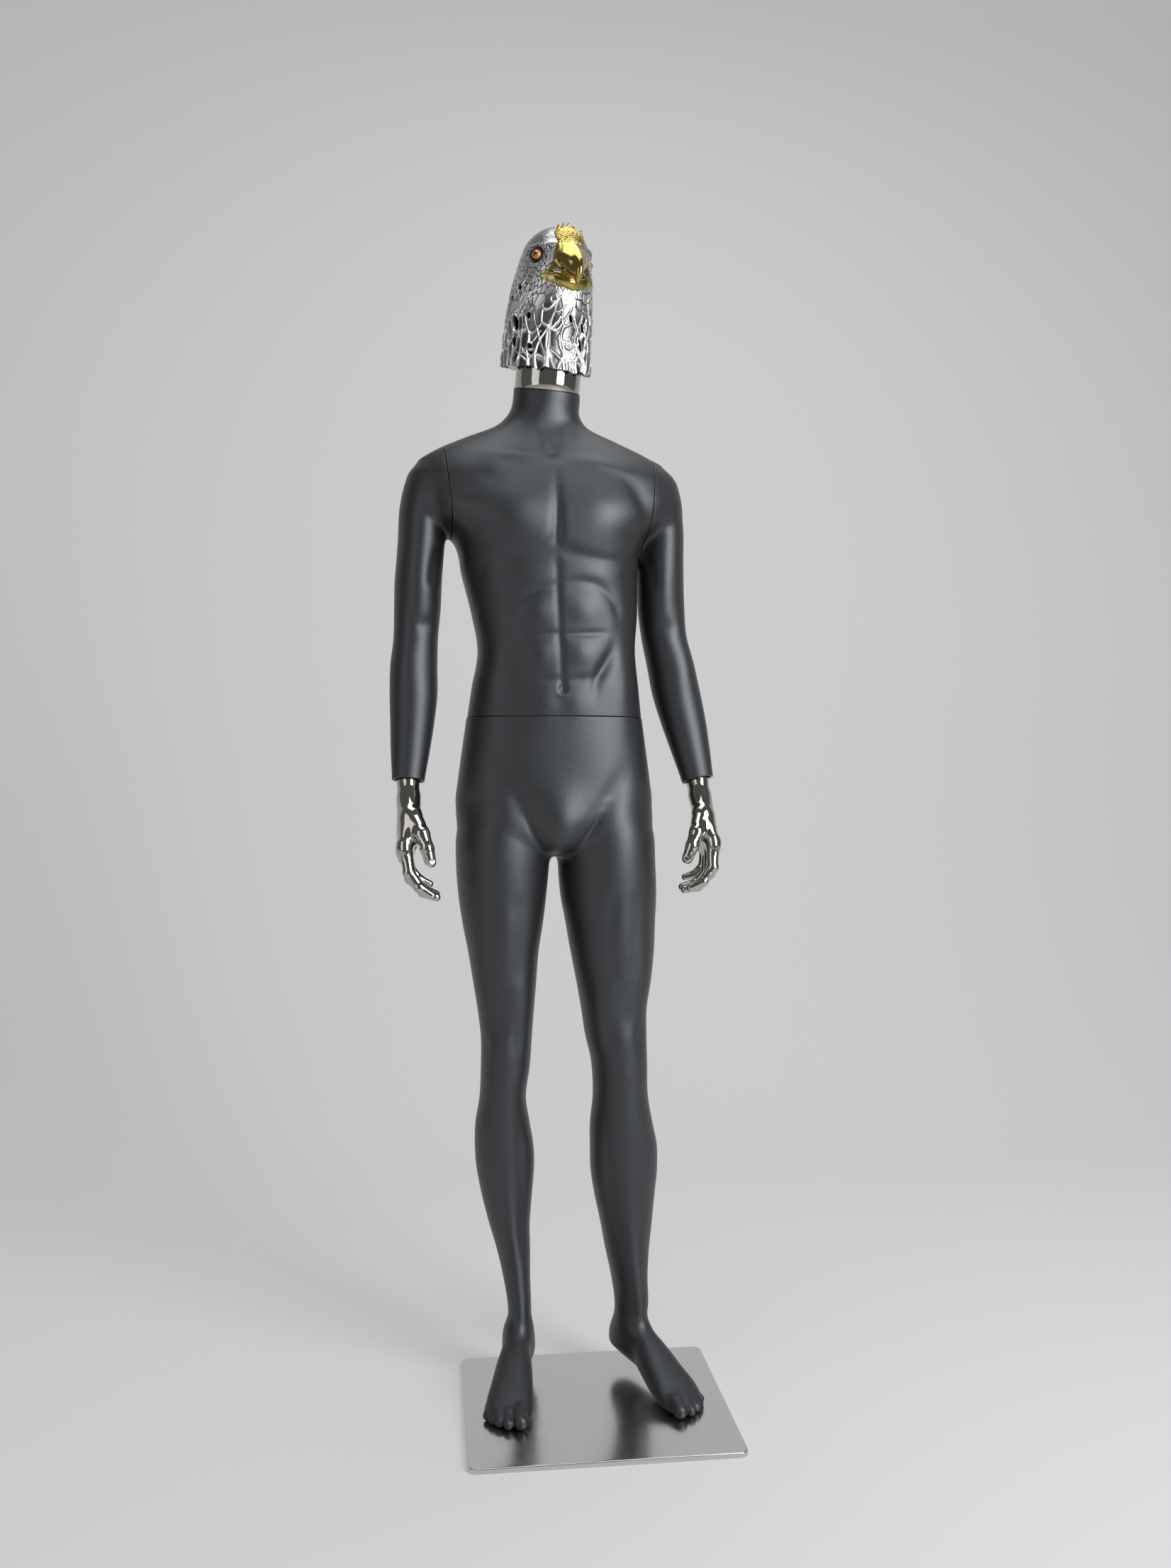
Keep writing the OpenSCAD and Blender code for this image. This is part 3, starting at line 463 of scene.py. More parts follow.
def flat_end(mesh, co, no, above=None, hole=None, hole_at=None, depth=6.0, rim=None):
    """Cuts a mesh square at a plane, keeping the side behind no, and closes it with a rounded rim.
    hole is the radius of a round opening in the end; rim is the width of an open ring instead."""
    co, no = Vector(co) * 0.001, Vector(no).normalized()
    bm = bmesh.new()
    bm.from_mesh(mesh)
    drop = 0.0009
    geom = [*bm.verts, *bm.edges, *bm.faces]
    if above is not None:
        faces = [f for f in bm.faces if f.calc_center_median().z > above * 0.001]
        geom = list({*faces, *(e for f in faces for e in f.edges), *(w for f in faces for w in f.verts)})
    bmesh.ops.bisect_plane(bm, geom=geom, plane_co=co - no * drop, plane_no=no, clear_outer=True, dist=1e-6)
    edges = [e for e in bm.edges if e.is_boundary and abs((e.verts[0].co - co).dot(no) + drop) < 1e-5
             and abs((e.verts[1].co - co).dot(no) + drop) < 1e-5]
    verts = {w for e in edges for w in e.verts}
    centre = sum((w.co for w in verts), Vector()) / len(verts)
    out = {}
    for w in verts:
        d = Vector()
        for e in w.link_edges:
            if e.is_boundary:
                a, b = e.verts
                t = (b.co - a.co).cross(no)
                mid = (a.co + b.co) / 2 - centre
                d += t if t.dot(mid) > 0 else -t
        out[w] = d.normalized() if d.length > 0 else (w.co - centre).normalized()

    def ring(edges, out, up, inward):
        made = bmesh.ops.extrude_edge_only(bm, edges=edges)["geom"]
        new = [g for g in made if isinstance(g, bmesh.types.BMVert)]
        moved = {}
        for w in new:
            old = next(e.other_vert(w) for e in w.link_edges if e.other_vert(w) in out)
            moved[w] = out[old]
            w.co += no * up - out[old] * inward
        return [g for g in made if isinstance(g, bmesh.types.BMEdge) and g.is_boundary
                and all(w in moved for w in g.verts)], moved

    e1, o1 = ring(edges, out, 0.0005, 0.0002)
    e2, o2 = ring(e1, o1, 0.0003, 0.0005)
    e3, o3 = ring(e2, o2, 0.0001, 0.0008)
    if rim:
        e4, o4 = ring(e3, o3, 0, rim * 0.001)
        ring(e4, o4, -depth * 0.001, 0)
    else:
        loop = list(e3)
        if hole:
            at = Vector(hole_at if hole_at else co * 1000) * 0.001
            side = no.orthogonal().normalized()
            other = no.cross(side)
            ws = [bm.verts.new(at + (side * math.cos(a) + other * math.sin(a)) * hole * 0.001)
                  for a in np.linspace(0, 2 * math.pi, 97)[:-1]]
            inner = [bm.edges.new((a, b)) for a, b in zip(ws, ws[1:] + ws[:1])]
            bmesh.ops.triangle_fill(bm, edges=loop + inner, use_beauty=False, normal=no)
            made = bmesh.ops.extrude_edge_only(bm, edges=inner)["geom"]
            bmesh.ops.translate(bm, vec=-no * depth * 0.001,
                                verts=[g for g in made if isinstance(g, bmesh.types.BMVert)])
        else:
            bmesh.ops.triangle_fill(bm, edges=loop, use_beauty=False, normal=no)
    bmesh.ops.recalc_face_normals(bm, faces=bm.faces)
    bm.to_mesh(mesh)
    bm.free()
    mesh.update()


def turn(x=0.0, y=0.0, z=0.0):
    return (Matrix.Rotation(math.radians(z), 4, "Z") @ Matrix.Rotation(math.radians(y), 4, "Y")
            @ Matrix.Rotation(math.radians(x), 4, "X"))


AT_NECK = Matrix.Translation((-71, 47, 1606)) @ turn(14, 4, 0)
AT_HEAD = Matrix.Translation((-74, 43, 1606)) @ turn(0, 0, 20)
AT_WRIST = {
    "right": Matrix.Translation((-290, 20, 985)) @ turn(-12, 4, 0),
    "left": Matrix.Translation((175, 54, 986)) @ turn(-12, -12, 0),
}
AT_SHOULDER = {
    side: Matrix.Translation((-71, 58, 0)) @ turn(0, 0, 3) @ Matrix.Scale(s, 4, (1, 0, 0))
    @ Matrix.Translation((161, 0, 1444)) @ turn(0, 96, 0)
    for side, s in (("right", -1), ("left", 1))
}


def axis(m):
    return (m.to_3x3() @ Vector((0, 0, 1))).normalized()


def upper_body():
    g = Grid((-336, -80, 940), (216, 180, 1650), 2.0)
    torso = g.loft(TORSO)
    arms = {"right": g.loft(RIGHT_ARM), "left": g.loft(LEFT_ARM)}
    planes = {}
    for side in arms:
        n, c = axis(AT_SHOULDER[side]), AT_SHOULDER[side].translation
        planes[side] = (g.x - c.x) * n.x + (g.y - c.y) * n.y + (g.z - c.z) * n.z
    low = step(1318, 1346, g.z)
    squeezed = torso
    for side in arms:
        edge = planes[side] + 1.6 - 80 * (1 - step(1270, 1312, g.z))
        squeezed = np.where(g.z < 1346, -join(-squeezed, -edge, 4.0), squeezed)
    whole = join(join(torso, arms["right"], 22.0), arms["left"], 22.0)
    made = {}
    v, q = g.mesh(squeezed * (1 - low) + whole * low)
    v = even(v, q, 2)
    v = torso_relief(v, vertex_normals(v, q))
    made["torso"] = from_arrays("torso", np.clip(v, LOW, HIGH), q)
    for side, keep in (("right", g.x.ravel() < -140), ("left", g.x.ravel() > 0)):
        sub = (arms[side] * (1 - low) + join(torso, arms[side], 22.0) * low)[keep]
        far = Grid(g.low, g.low + 1, g.step)
        far.low = np.array([g.x.ravel()[keep][0], g.low[1], g.low[2]], float)
        v, q = far.mesh(sub)
        v = even(v, q, 2)
        v = torso_relief(v, vertex_normals(v, q))
        made[side] = from_arrays(side + "_arm", np.clip(v, LOW, HIGH), q)
    return made


def lower_body():
    g = Grid((-226, -100, 0), (180, 194, 1110), 2.1)
    pelvis = g.loft(PELVIS)
    d = np.minimum(join(pelvis, g.loft(RIGHT_LEG), 16.0), join(pelvis, g.loft(LEFT_LEG), 16.0))
    k = int(130 / g.step)
    low = Grid(g.low, (180, 194, 0), g.step)
    low.z = g.z[:, :, :k]
    for heel, angle, s in (((-106, 151), -8, 1), ((57, 146), 21, -1)):
        c, n = math.cos(math.radians(angle)), math.sin(math.radians(angle))
        dx, dy = low.x - heel[0], low.y - heel[1]
        side, ahead = (dx * c + dy * n) * s, -(dy * c - dx * n)
        p = curve(FOOT, ahead.ravel().astype(float)).astype(np.float32)
        shift, half, sole, top = (p[:, j].reshape(ahead.shape) for j in range(4))
        u, w = (side - shift) / half, (low.z - (sole + top) / 2) / ((top - sole) / 2)
        r = (np.abs(u) ** 2.4 + np.abs(w) ** 2.4) ** (1 / 2.4) + 1e-4
        foot = np.sqrt((side - shift) ** 2 + (low.z - (sole + top) / 2) ** 2) * (1 - 1 / r)
        over = np.maximum(-ahead, ahead - 222)
        foot = np.where(over > 0, np.sqrt(np.maximum(foot, 0) ** 2 + over**2), np.maximum(foot, over))
        toes = np.full(foot.shape, 50, np.float32)
        for (x0, a0), (x1, a1), rad in TOES:
            joints = [(x0, a0, rad + 13, rad), ((x0 + x1) / 2, (a0 + a1) / 2, rad + 14, rad * 0.92),
                      (x1, a1, rad + 8.4, rad)]
            one = None
            for (xa, aa, za, ra), (xb, ab, zb, rb) in zip(joints, joints[1:]):
                seg = np.array([xb - xa, ab - aa, zb - za])
                t = (side - xa) * seg[0] + (ahead - aa) * seg[1] + (low.z - za) * seg[2]
                t = np.clip(t / (seg @ seg), 0, 1)
                e = np.sqrt((side - xa - t * seg[0]) ** 2 + (ahead - aa - t * seg[1]) ** 2
                            + (low.z - za - t * seg[2]) ** 2) - (ra + (rb - ra) * t)
                one = e if one is None else join(one, e, 3.0)
            toes = np.minimum(toes, one) if rad > 11 else join(toes, one, 1.5)
        foot = join(foot, toes, 5.0)
        foot = np.maximum(foot, 8.05 - low.z)
        d[:, :, :k] = join(d[:, :, :k], foot, 26.0)
    d = np.maximum(d, 8.05 - g.z)
    v, q = g.mesh(d)
    v = even(v, q, 1)
    v = lower_relief(v, vertex_normals(v, q))
    v[:, 2] = np.maximum(v[:, 2], 8.05)
    return from_arrays("lower_body", np.clip(v, LOW, HIGH), q)


# ---------------------------------------------------------------- hands
# Palm in the wrist's frame: height, x towards the palm, y, half width, front, back, fullness, turn.
PALM = [
    [-126, -6, 0, 9, 36, 34, 2.2, 0], [-112, -5, 0, 12, 41, 38, 2.3, 0],
    [-88, -4, 0, 14.5, 41, 38, 2.3, 0], [-66, -3, -1, 15.5, 35, 33, 2.2, 0],
    [-44, -2, 0, 15.5, 27, 26, 2, 0], [-20, 0, 0, 17, 23, 23, 2, 0], [8, 0, 0, 19, 22, 22, 2, 0],
]
# Joints of each finger from knuckle to tip with the radius there, thumb last.
FINGERS = [
    [(-5, -30, -108, 10.4), (1, -31, -148, 8.8), (17, -31, -171, 7.8), (35, -30, -183, 6.6)],
    [(-5, -10, -110, 10.6), (4, -10, -154, 9), (23, -10, -175, 8), (42, -9, -183, 6.7)],
    [(-4, 10, -108, 10.4), (4, 11, -149, 8.8), (23, 12, -168, 7.8), (42, 13, -176, 6.5)],
    [(-3, 28, -102, 9.4), (4, 31, -135, 7.7), (18, 32, -150, 6.8), (33, 33, -157, 5.8)],
    [(6, -24, -58, 14.5), (20, -41, -90, 12), (28, -45, -113, 10.2), (33, -44, -134, 8.8)],
]


def rod(g, d, a, b, ra, rb, k):
    """Joins a tapered rod with round ends into the field d; it is cut out instead when k is 0 or less."""
    a, b = np.array(a, float), np.array(b, float)
    m = max(ra, rb) + k + 3 * g.step
    at = [slice(max(int((min(a[j], b[j]) - m - g.low[j]) / g.step), 0),
                max(int((max(a[j], b[j]) + m - g.low[j]) / g.step) + 2, 0)) for j in range(3)]
    x, y, z = g.x[at[0]], g.y[:, at[1]], g.z[:, :, at[2]]
    ab = b - a
    t = np.clip(((x - a[0]) * ab[0] + (y - a[1]) * ab[1] + (z - a[2]) * ab[2]) / (ab @ ab), 0, 1)
    e = np.sqrt((x - a[0] - t * ab[0]) ** 2 + (y - a[1] - t * ab[1]) ** 2 + (z - a[2] - t * ab[2]) ** 2)
    e = (e - (ra + (rb - ra) * t)).astype(np.float32)
    part = d[at[0], at[1], at[2]]
    if k > 0:
        part = join(part, e, k)
    else:
        part = -join(-part, e, -k) if k else np.maximum(part, -e)
    d[at[0], at[1], at[2]] = part


def hand(side):
    """A hand in its sleeve's frame; the left one is the mirrored right one with more bent fingers."""
    g = Grid((-34, -66, -206), (64, 54, 14), 0.9)
    d = g.loft(PALM)
    curl = 0 if side == "right" else 15
    digits = []
    for f in FINGERS:
        f = [np.array(j, float) for j in f]
        if curl and f is not FINGERS[-1]:
            for j in (1, 2):
                c, n = math.cos(math.radians(curl / 2)), math.sin(math.radians(curl / 2))
                for m in range(j + 1, 4):
                    u = f[m][:3] - f[j][:3]
                    spread = 1.12 if m == 3 else 1
                    f[m][:3] = f[j][:3] + [u[0] * c - u[2] * n, u[1] * spread, u[2] * c + u[0] * n]
        digits.append(f)
    for i, f in enumerate(digits[:4]):
        one = np.full(g.shape, 40, np.float32)
        for a, b in zip(f[:-1], f[1:]):
            rod(g, one, a[:3], b[:3], a[3], b[3], 3.0)
        for j in (1, 2):
            knuckle, r = f[j][:3], f[j][3] * 0.86
            rod(g, one, knuckle + [-1.6, -0.1, 0.5], knuckle + [-1.5, 0.1, -0.5], r, r, 3.0)
        d = join(d, one, 7.0)
        rod(g, d, f[0][:3] + [-2.5, -0.1, -3], f[0][:3] + [-2.5, 0.1, 3], 9.4, 9.4, 9.0)
    f = digits[4]
    thumb = np.full(g.shape, 40, np.float32)
    rod(g, thumb, (2, -8, -30), f[0][:3], 15, f[0][3], 8.0)
    for a, b in zip(f[:-1], f[1:]):
        rod(g, thumb, a[:3], b[:3], a[3], b[3], 4.0)
    d = join(d, thumb, 14.0)
    rod(g, d, (3, -20, -64), (6, -18, -96), 10, 8, 14.0)
    rod(g, d, (3, 24, -60), (4, 26, -98), 9, 8, 14.0)
    # nails
    for i, f in enumerate(digits):
        tip, way = f[3][:3], f[3][:3] - f[2][:3]
        way = way / np.linalg.norm(way)
        back = np.cross((0, 1, 0), way)
        back = back / np.linalg.norm(back)
        if back[0] > 0:
            back = -back
        if i == 4:
            back = np.array([0.25, -0.95, 0.1])
        r = f[3][3]
        c = tip + way * r * 0.25 + back * r * 1.62
        across = np.cross(way, back)
        rod(g, d, c - across * r * 0.28, c + across * r * 0.28, r * 0.78, r * 0.78, 0)
    v, q = g.mesh(d)
    v = even(v, q, 9)
    mesh = from_arrays(side + "_hand", v, q)
    m = AT_WRIST[side] @ turn(0, -4 if side == "right" else 6.2, 0)
    if side == "left":
        m = m @ Matrix.Scale(-1, 4, (1, 0, 0))
    m = m.copy()
    m.translation = m.translation * 0.001
    mesh.transform(m)
    if side == "left":
        mesh.flip_normals()
    w = AT_WRIST[side]
    flat_end(mesh, w.translation - axis(w) * WRIST_GAP, axis(w))
    return mesh


# ---------------------------------------------------------------- eagle head
# In the head's frame: height, x, y, half width, front depth, back depth, fullness, turn.
HEAD = [
    [-6, 2, 3, 72, 72, 74, 2.1, 0], [30, 2, 3, 70.5, 71, 72, 2.1, 0], [62, 3, 3, 68.5, 70, 70, 2.1, 0],
    [100, 6, 3, 67.5, 73, 68, 2.1, 0], [140, 9, 2, 65, 76, 66, 2.1, 0], [170, 10, -2, 61, 77, 61, 2.1, 0],
    [196, 11, -6, 55.5, 73, 54, 2.1, 0], [222, 11, -10, 47, 62, 44, 2.1, 0], [236, 11, -12, 37, 50, 35, 2, 0],
    [245, 11, -12, 24, 33, 23, 2, 0], [249.4, 11, -12, 8, 11, 8, 2, 0],
]
UPPER_BEAK = [
    [145, 7, -105, 2.4, 5, 5, 1.7, 0], [151, 7, -101, 7, 10, 10, 1.7, 0], [162, 8, -91, 14, 19, 18, 1.7, 0],
    [175, 9, -80, 22, 27, 22, 1.75, 0], [190, 10, -68, 27, 29, 20, 1.8, 0],
    [203, 10, -60, 27, 25, 16, 1.9, 0],
    [213, 10, -54, 21, 19, 14, 2, 0], [221, 10, -48, 12, 14, 10, 2, 0],
]
LOWER_BEAK = [
    [137, 10, -67, 7, 6, 10, 2, 0], [141, 10, -68, 19, 10, 12, 2, 0], [148, 10, -68, 28, 14, 12, 2, 0],
    [157, 10, -67, 32, 15, 12, 2, 0], [164, 10, -67, 24, 12, 10, 2, 0],
]
RIDGE = [
    [136, 5.5, -103, 1.4, 2, 3, 2, 0], [142, 5.5, -105, 4.2, 5, 8, 2, 0], [150, 6, -107, 6, 8, 14, 2, 0],
    [160, 6.5, -105, 7.2, 10.5, 16, 2, 0],
    [172, 7.5, -102, 7.6, 10.5, 16, 2, 0], [185, 8.5, -96, 8, 8.5, 16, 2, 0],
    [198, 9.5, -86, 7.4, 7, 16, 2, 0],
    [210, 10, -75, 5, 4, 12, 2, 0],
]
# Half width of the gilded face at each height.
MASK = [
    [139, 4], [143, 20], [147, 30], [151, 39], [155, 46], [158, 47], [161, 43], [165, 37], [173, 32],
    [185, 26], [198, 21], [209, 21], [218, 24], [227, 24], [235, 17], [241, 4],
]
EYES = [(-35, -45.5, 193), (54.5, -41.5, 193)]


def ring_points(z, angle, grow=0.0):
    """Points of the head's surface at heights and angles, with the outward directions."""
    p = curve(HEAD, z.ravel()).reshape(z.shape + (7,))
    c, s = np.cos(angle), np.sin(angle)
    e = 2 / p[..., 5]
    b = np.where(s < 0, p[..., 3], p[..., 4])
    x = p[..., 0] + (p[..., 2] + grow) * np.sign(c) * np.abs(c) ** e
    y = p[..., 1] + (b + grow) * np.sign(s) * np.abs(s) ** e
    return np.stack([x, y, z], -1)


def seen_at(x, z):
    """The angle at which the head's surface is met at a place across and up, in front."""
    a = np.radians(np.arange(150, 400, 1.0))
    p = ring_points(np.full(a.shape, z - 1606.0), a)
    wx = -74 + 0.94 * p[:, 0] - 0.342 * p[:, 1]
    wy = 43 + 0.342 * p[:, 0] + 0.94 * p[:, 1]
    cost = np.abs(wx - x) + np.where(wy > 43 + 30, 500, 0) + wy * 0.02
    return a[np.argmin(cost)]


def girth(z):
    """Mean radius of the head at a height."""
    return np.interp(z, [0, 100, 170, 196, 222, 240, 249], [71, 70, 66, 60, 47, 31, 9])


def cell_at(z):
    """Width of the network's cells at a height."""
    return np.interp(z, [0, 60, 100, 140, 190, 225, 250], [11, 11, 7.5, 4.2, 3.4, 2.4, 2.2])


def long_at(z):
    """Length of the cells over their width at a height."""
    return np.interp(z, [0, 60, 100, 140, 190, 250], [2.6, 2.4, 2.0, 1.5, 1.15, 1.0])


def wrapped(angle):
    """The same angle between minus and plus half a turn."""
    return (angle + math.pi) % (2 * math.pi) - math.pi


def head_shell():
    """The chromed head: a pierced skin with raised strands, its hem and the tone of each place, which carries
    painted shade in the hollows and painted highlights on the ridges.
    """
    nt, nz = ((620, 330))
    rng = np.random.default_rng(7)
    ang = np.linspace(0, 2 * math.pi, nt, endpoint=False)
    # the hem follows the neck, with leaf tips of uneven length
    hem_n = (turn(0, 0, -20) @ turn(14, 4, 0)).to_3x3() @ Vector((0, 0, 1))
    base = ring_points(np.full(nt, 31.0), ang)
    hem = 31 - (hem_n.x * base[:, 0] + hem_n.y * base[:, 1]) / hem_n.z
    knots = np.sort((np.arange(23) + rng.uniform(-0.3, 0.3, 23)) / 23 * 2 * math.pi)
    deep = rng.uniform(1.5, 7.0, 23)
    for k in range(23):
        d = wrapped(ang - knots[k])
        w = 0.15 + 0.03 * (k % 3)
        hem = hem - deep[k] * np.maximum(1 - (np.abs(d) / w) ** 1.4, 0)
    hem = hem + 3.2
    up = np.linspace(0, 1, nz)[:, None]
    z = hem[None] + (248.6 - hem[None]) * up
    a = np.broadcast_to(ang[None], z.shape)
    p = ring_points(z, a)
    # chart: length round the head and height
    s = wrapped(a + math.pi / 2)
    radius = girth(z)
    cx = s * radius
    h = np.zeros(z.shape)
    # cells: fine above, long leaves below
    seeds = []
    zz = 6.0
    while zz < 250:
        c = cell_at(zz)
        r = girth(zz)
        n = max(int(2 * math.pi * r / (c * 1.7)), 5)
        off = rng.uniform(0, 1)
        for k in range(n):
            seeds.append(((k + off + rng.uniform(-0.42, 0.42)) / n * 2 * math.pi - math.pi,
                          zz + rng.uniform(-0.5, 0.5) * c * long_at(zz) * 1.5, c * rng.uniform(0.8, 1.25)))
        zz += c * long_at(zz) * 1.55
    seeds = np.array(seeds)
    shade = rng.uniform(0, 1, len(seeds))
    f1 = np.full(z.shape, 1e9)
    f2 = np.full(z.shape, 1e9)
    who = np.zeros(z.shape, int)
    for r0 in range(0, nz, 6):
        rows = slice(r0, min(r0 + 6, nz))
        zb, sb = z[rows], s[rows]
        mid = (zb.min() + zb.max()) / 2
        reach = 12 + 3.4 * cell_at(mid) * long_at(mid) + (zb.max() - zb.min()) / 2
        near = np.nonzero(np.abs(seeds[:, 1] - mid) < reach)[0]
        lean = 0.25 * np.sin(sb * 3 + zb * 0.05)
        for k in near:
            ds = wrapped(sb - seeds[k, 0]) * radius[rows]
            dz = zb - seeds[k, 1]
            d = np.hypot(ds + dz * lean, dz / long_at(seeds[k, 1])) / seeds[k, 2]
            first = d < f1[rows]
            f2[rows] = np.where(first, f1[rows], np.minimum(f2[rows], d))
            who[rows] = np.where(first, k, who[rows])
            f1[rows] = np.where(first, d, f1[rows])
    edge = f2 - f1
    low = 1 - step(96, 132, z + 10 * np.sin(s * 5))
    cap = step(203, 214, z)
    line = np.exp(-((edge / 0.2) ** 2))
    h += line * (1.0 * low - 0.5 * (1 - low) * (1 - cap * 0.6)) - 0.8 * low * (1 - line)
    # Tone of the cells: above, light cells with painted shade along their sunk lines; below, sunk cells toned
    # dark as painted shade, varied at random per cell, with raised lines painted bright as a painted
    # highlight; on the crown, a mid tone with painted shade along the sunk lines.
    pick = shade[who]
    vein_shade = np.exp(-((edge / (0.1 + 0.16 * pick)) ** 2))
    bright = 0.74 + 0.26 * pick - 0.95 * vein_shade * (1 - low)
    dark = 0.16 + 0.34 * pick**2 + 0.6 * line
    tone = bright * (1 - low) + dark * low
    tone = tone * (1 - cap) + (0.55 + 0.2 * pick - 0.3 * line) * cap
    # strands that branch up from the hem
    strands = []

    def grow(at, way, length, r, level):
        pts = [at]
        for k in range(int(length / 6)):
            way = way + rng.uniform(-0.24, 0.24)
            at = at + 6 * np.array([math.sin(way), math.cos(way)])
            pts.append(at)
            if level < 2 and rng.uniform() < 0.2:
                fork = way + rng.choice([-1, 1]) * rng.uniform(0.5, 0.9)
                grow(at, fork, length * 0.45, r * 0.75, level + 1)
            way *= 0.93
        strands.append((pts, r))

    for k in range(30):
        x = (k + rng.uniform(-0.3, 0.3)) / 30 * 440 - 220
        foot = np.interp((x / 71 - math.pi / 2) % (2 * math.pi), ang, hem) + 1
        grow(np.array([x, foot]), rng.uniform(-0.3, 0.3), rng.uniform(50, 125), 1.9, 0)
    rise = np.zeros(z.shape)
    for pts, r in strands:
        for k, (b, c) in enumerate(zip(pts[:-1], pts[1:])):
            w = r * (1 - 0.6 * k / len(pts))
            j = np.nonzero(np.abs(wrapped(ang + math.pi / 2) * 70 - b[0]) < 12)[0]
            if not len(j):
                continue
            i0, i1 = np.searchsorted(z[:, j[0]], [min(b[1], c[1]) - 5, max(b[1], c[1]) + 5])
            if i1 <= i0:
                continue
            part = np.ix_(np.arange(i0, i1), j)
            u, t0 = s[part] * 70, c - b
            t = np.clip(((u - b[0]) * t0[0] + (z[part] - b[1]) * t0[1]) / (t0 @ t0), 0, 1)
            d = np.hypot(u - b[0] - t * t0[0], z[part] - b[1] - t * t0[1])
            rise[part] = np.maximum(rise[part], np.exp(-((d / w) ** 2)) * w)
    above = 1 - step(150, 185, z)
    h += rise * 1.15 * above
    # The raised strands are painted near white: a painted highlight along their ridges.
    lit = np.clip(rise * 1.1, 0, 1) * above
    tone = tone * (1 - lit) + 0.98 * lit
    # brow and eye sockets
    for ex, ey, ez in EYES:
        e = np.array([ex, ey, ez], float)
        off = np.linalg.norm(p - e, axis=-1)
        level = p[..., 2] - ez
        h -= 4.5 * np.exp(-((off / 13) ** 2))
        side = np.hypot(p[..., 0] - ex, p[..., 1] - ey)
        sweep = np.exp(-((level - 13 - side * 0.02) / 4.6) ** 2) * np.exp(-((side / 27) ** 4))
        h += 5.2 * sweep
        # A beaded band just under the raised brow is darkened: painted shade under the brow.
        brow_shade = np.exp(-((level - 9.5) / 2.0) ** 2) * np.exp(-((side / 24) ** 4))
        tone = tone * (1 - 0.85 * brow_shade * (0.6 + 0.4 * np.sin(cx * 2.4)))
        # A ring round the eye, in its sunk socket, is darkened: painted shade in the socket.
        rim = np.exp(-(((off - 10.5) / 2.2) ** 2))
        tone = tone * (1 - 0.8 * rim)
    # pierced places
    holes = np.zeros(z.shape, bool)
    for x, zz, w, l in ((-116.8, 1755, 3.6, 5.4), (-127.5, 1743, 2.6, 4.2), (-135, 1714, 3.4, 6.5),
                        (-104.9, 1705, 4, 5), (-125.5, 1668, 4.2, 9), (-104, 1652, 5, 9), (-20, 1690, 3, 8),
                        (-24, 1664, 3.4, 9), (-40, 1700, 2.6, 6)):
        t0 = seen_at(x, zz)
        ds = wrapped(a - t0) * radius
        hole = np.hypot((ds + 0.25 * (z - zz + 1606)) / w, (z - (zz - 1606)) / l)
        holes |= hole < 1
        # Each hole gets a raised lip painted bright: a painted highlight on the lip.
        rim = np.exp(-(((hole - 1.25) / 0.22) ** 2))
        h += 0.8 * rim
        tone = np.maximum(tone, 0.75 * rim)
    for k in rng.choice(len(seeds), 260, replace=False):
        if 30 < seeds[k, 1] < 110 and abs(seeds[k, 0]) > 1.2:
            holes |= (who == k) & (edge > 0.34)
    gold = np.abs(p[..., 0] - 10) < np.interp(z, *np.array(MASK).T) - 1.5
    gold &= (p[..., 1] < -20) & (z > 134)
    h = np.where(gold, np.minimum(h, -0.4), h)
    holes &= ~gold
    flat = step(0, 0.05, 1 - up)
    # outward directions from the grid itself
    du = np.roll(p, -1, 1) - np.roll(p, 1, 1)
    dv = np.gradient(p, axis=0)
    n = np.cross(du, dv)
    n /= np.maximum(np.linalg.norm(n, axis=-1), 1e-9)[..., None]
    out = p + n * (h * flat)[..., None]
    inner = p - n * 2.6
    size = nt * nz
    index = np.arange(size).reshape(nz, nt)
    right = np.roll(index, -1, 1)
    q = np.stack([index[:-1], right[:-1], right[1:], index[1:]], -1)
    keep = ~holes[:-1]
    outer_q = q[keep]
    inner_q = (q[keep] + size)[:, ::-1]
    walls = []
    # walls of the pierced places and of the hem
    for r, c in np.argwhere(holes[:-1]):
        for dr, dc, e in ((-1, 0, (0, 1)), (1, 0, (3, 2)), (0, -1, (0, 3)), (0, 1, (1, 2))):
            rr, cc = r + dr, (c + dc) % nt
            if 0 <= rr < nz - 1 and keep[rr, cc]:
                i, j = q[r, c][e[0]], q[r, c][e[1]]
                walls.append((i, j, j + size, i + size))
    for c in range(nt):
        if keep[0, c]:
            i, j = index[0, c], index[0, (c + 1) % nt]
            walls.append((j, i, i + size, j + size))
    v = np.concatenate([out.reshape(-1, 3), inner.reshape(-1, 3)])
    # The inside of the shell, and the crown's inner point, are painted dark: painted shade inside the hollow
    # head.
    tones = np.concatenate([tone.ravel(), np.full(size, 0.12)])
    # close the crown
    v = np.vstack([v, [[11, -12, 249.7]], [[11, -12, 246.5]]])
    tones = np.concatenate([tones, [0.5, 0.1]])
    top = [(index[-1, c], index[-1, (c + 1) % nt], 2 * size) for c in range(nt)]
    faces = np.concatenate([outer_q, inner_q, np.array(walls)])
    mesh = bpy.data.meshes.new("eagle_head")
    mesh.from_pydata(v * 0.001, [], faces.tolist() + top)
    mesh.validate()
    tone_at = mesh.attributes.new("tone", "FLOAT", "POINT")
    tone_at.data.foreach_set("value", np.clip(tones, 0.02, 1).astype(np.float32))
    m = AT_HEAD.copy()
    m.translation = m.translation * 0.001
    mesh.transform(m)
    return mesh


# Hollows beside the beak: place and half sizes, mirrored about the middle of the face.
NOSTRILS = [((23.5, -75, 164.5), (6.4, 9, 3.2)), ((15.5, -88, 176), (2.6, 5, 2.8))]


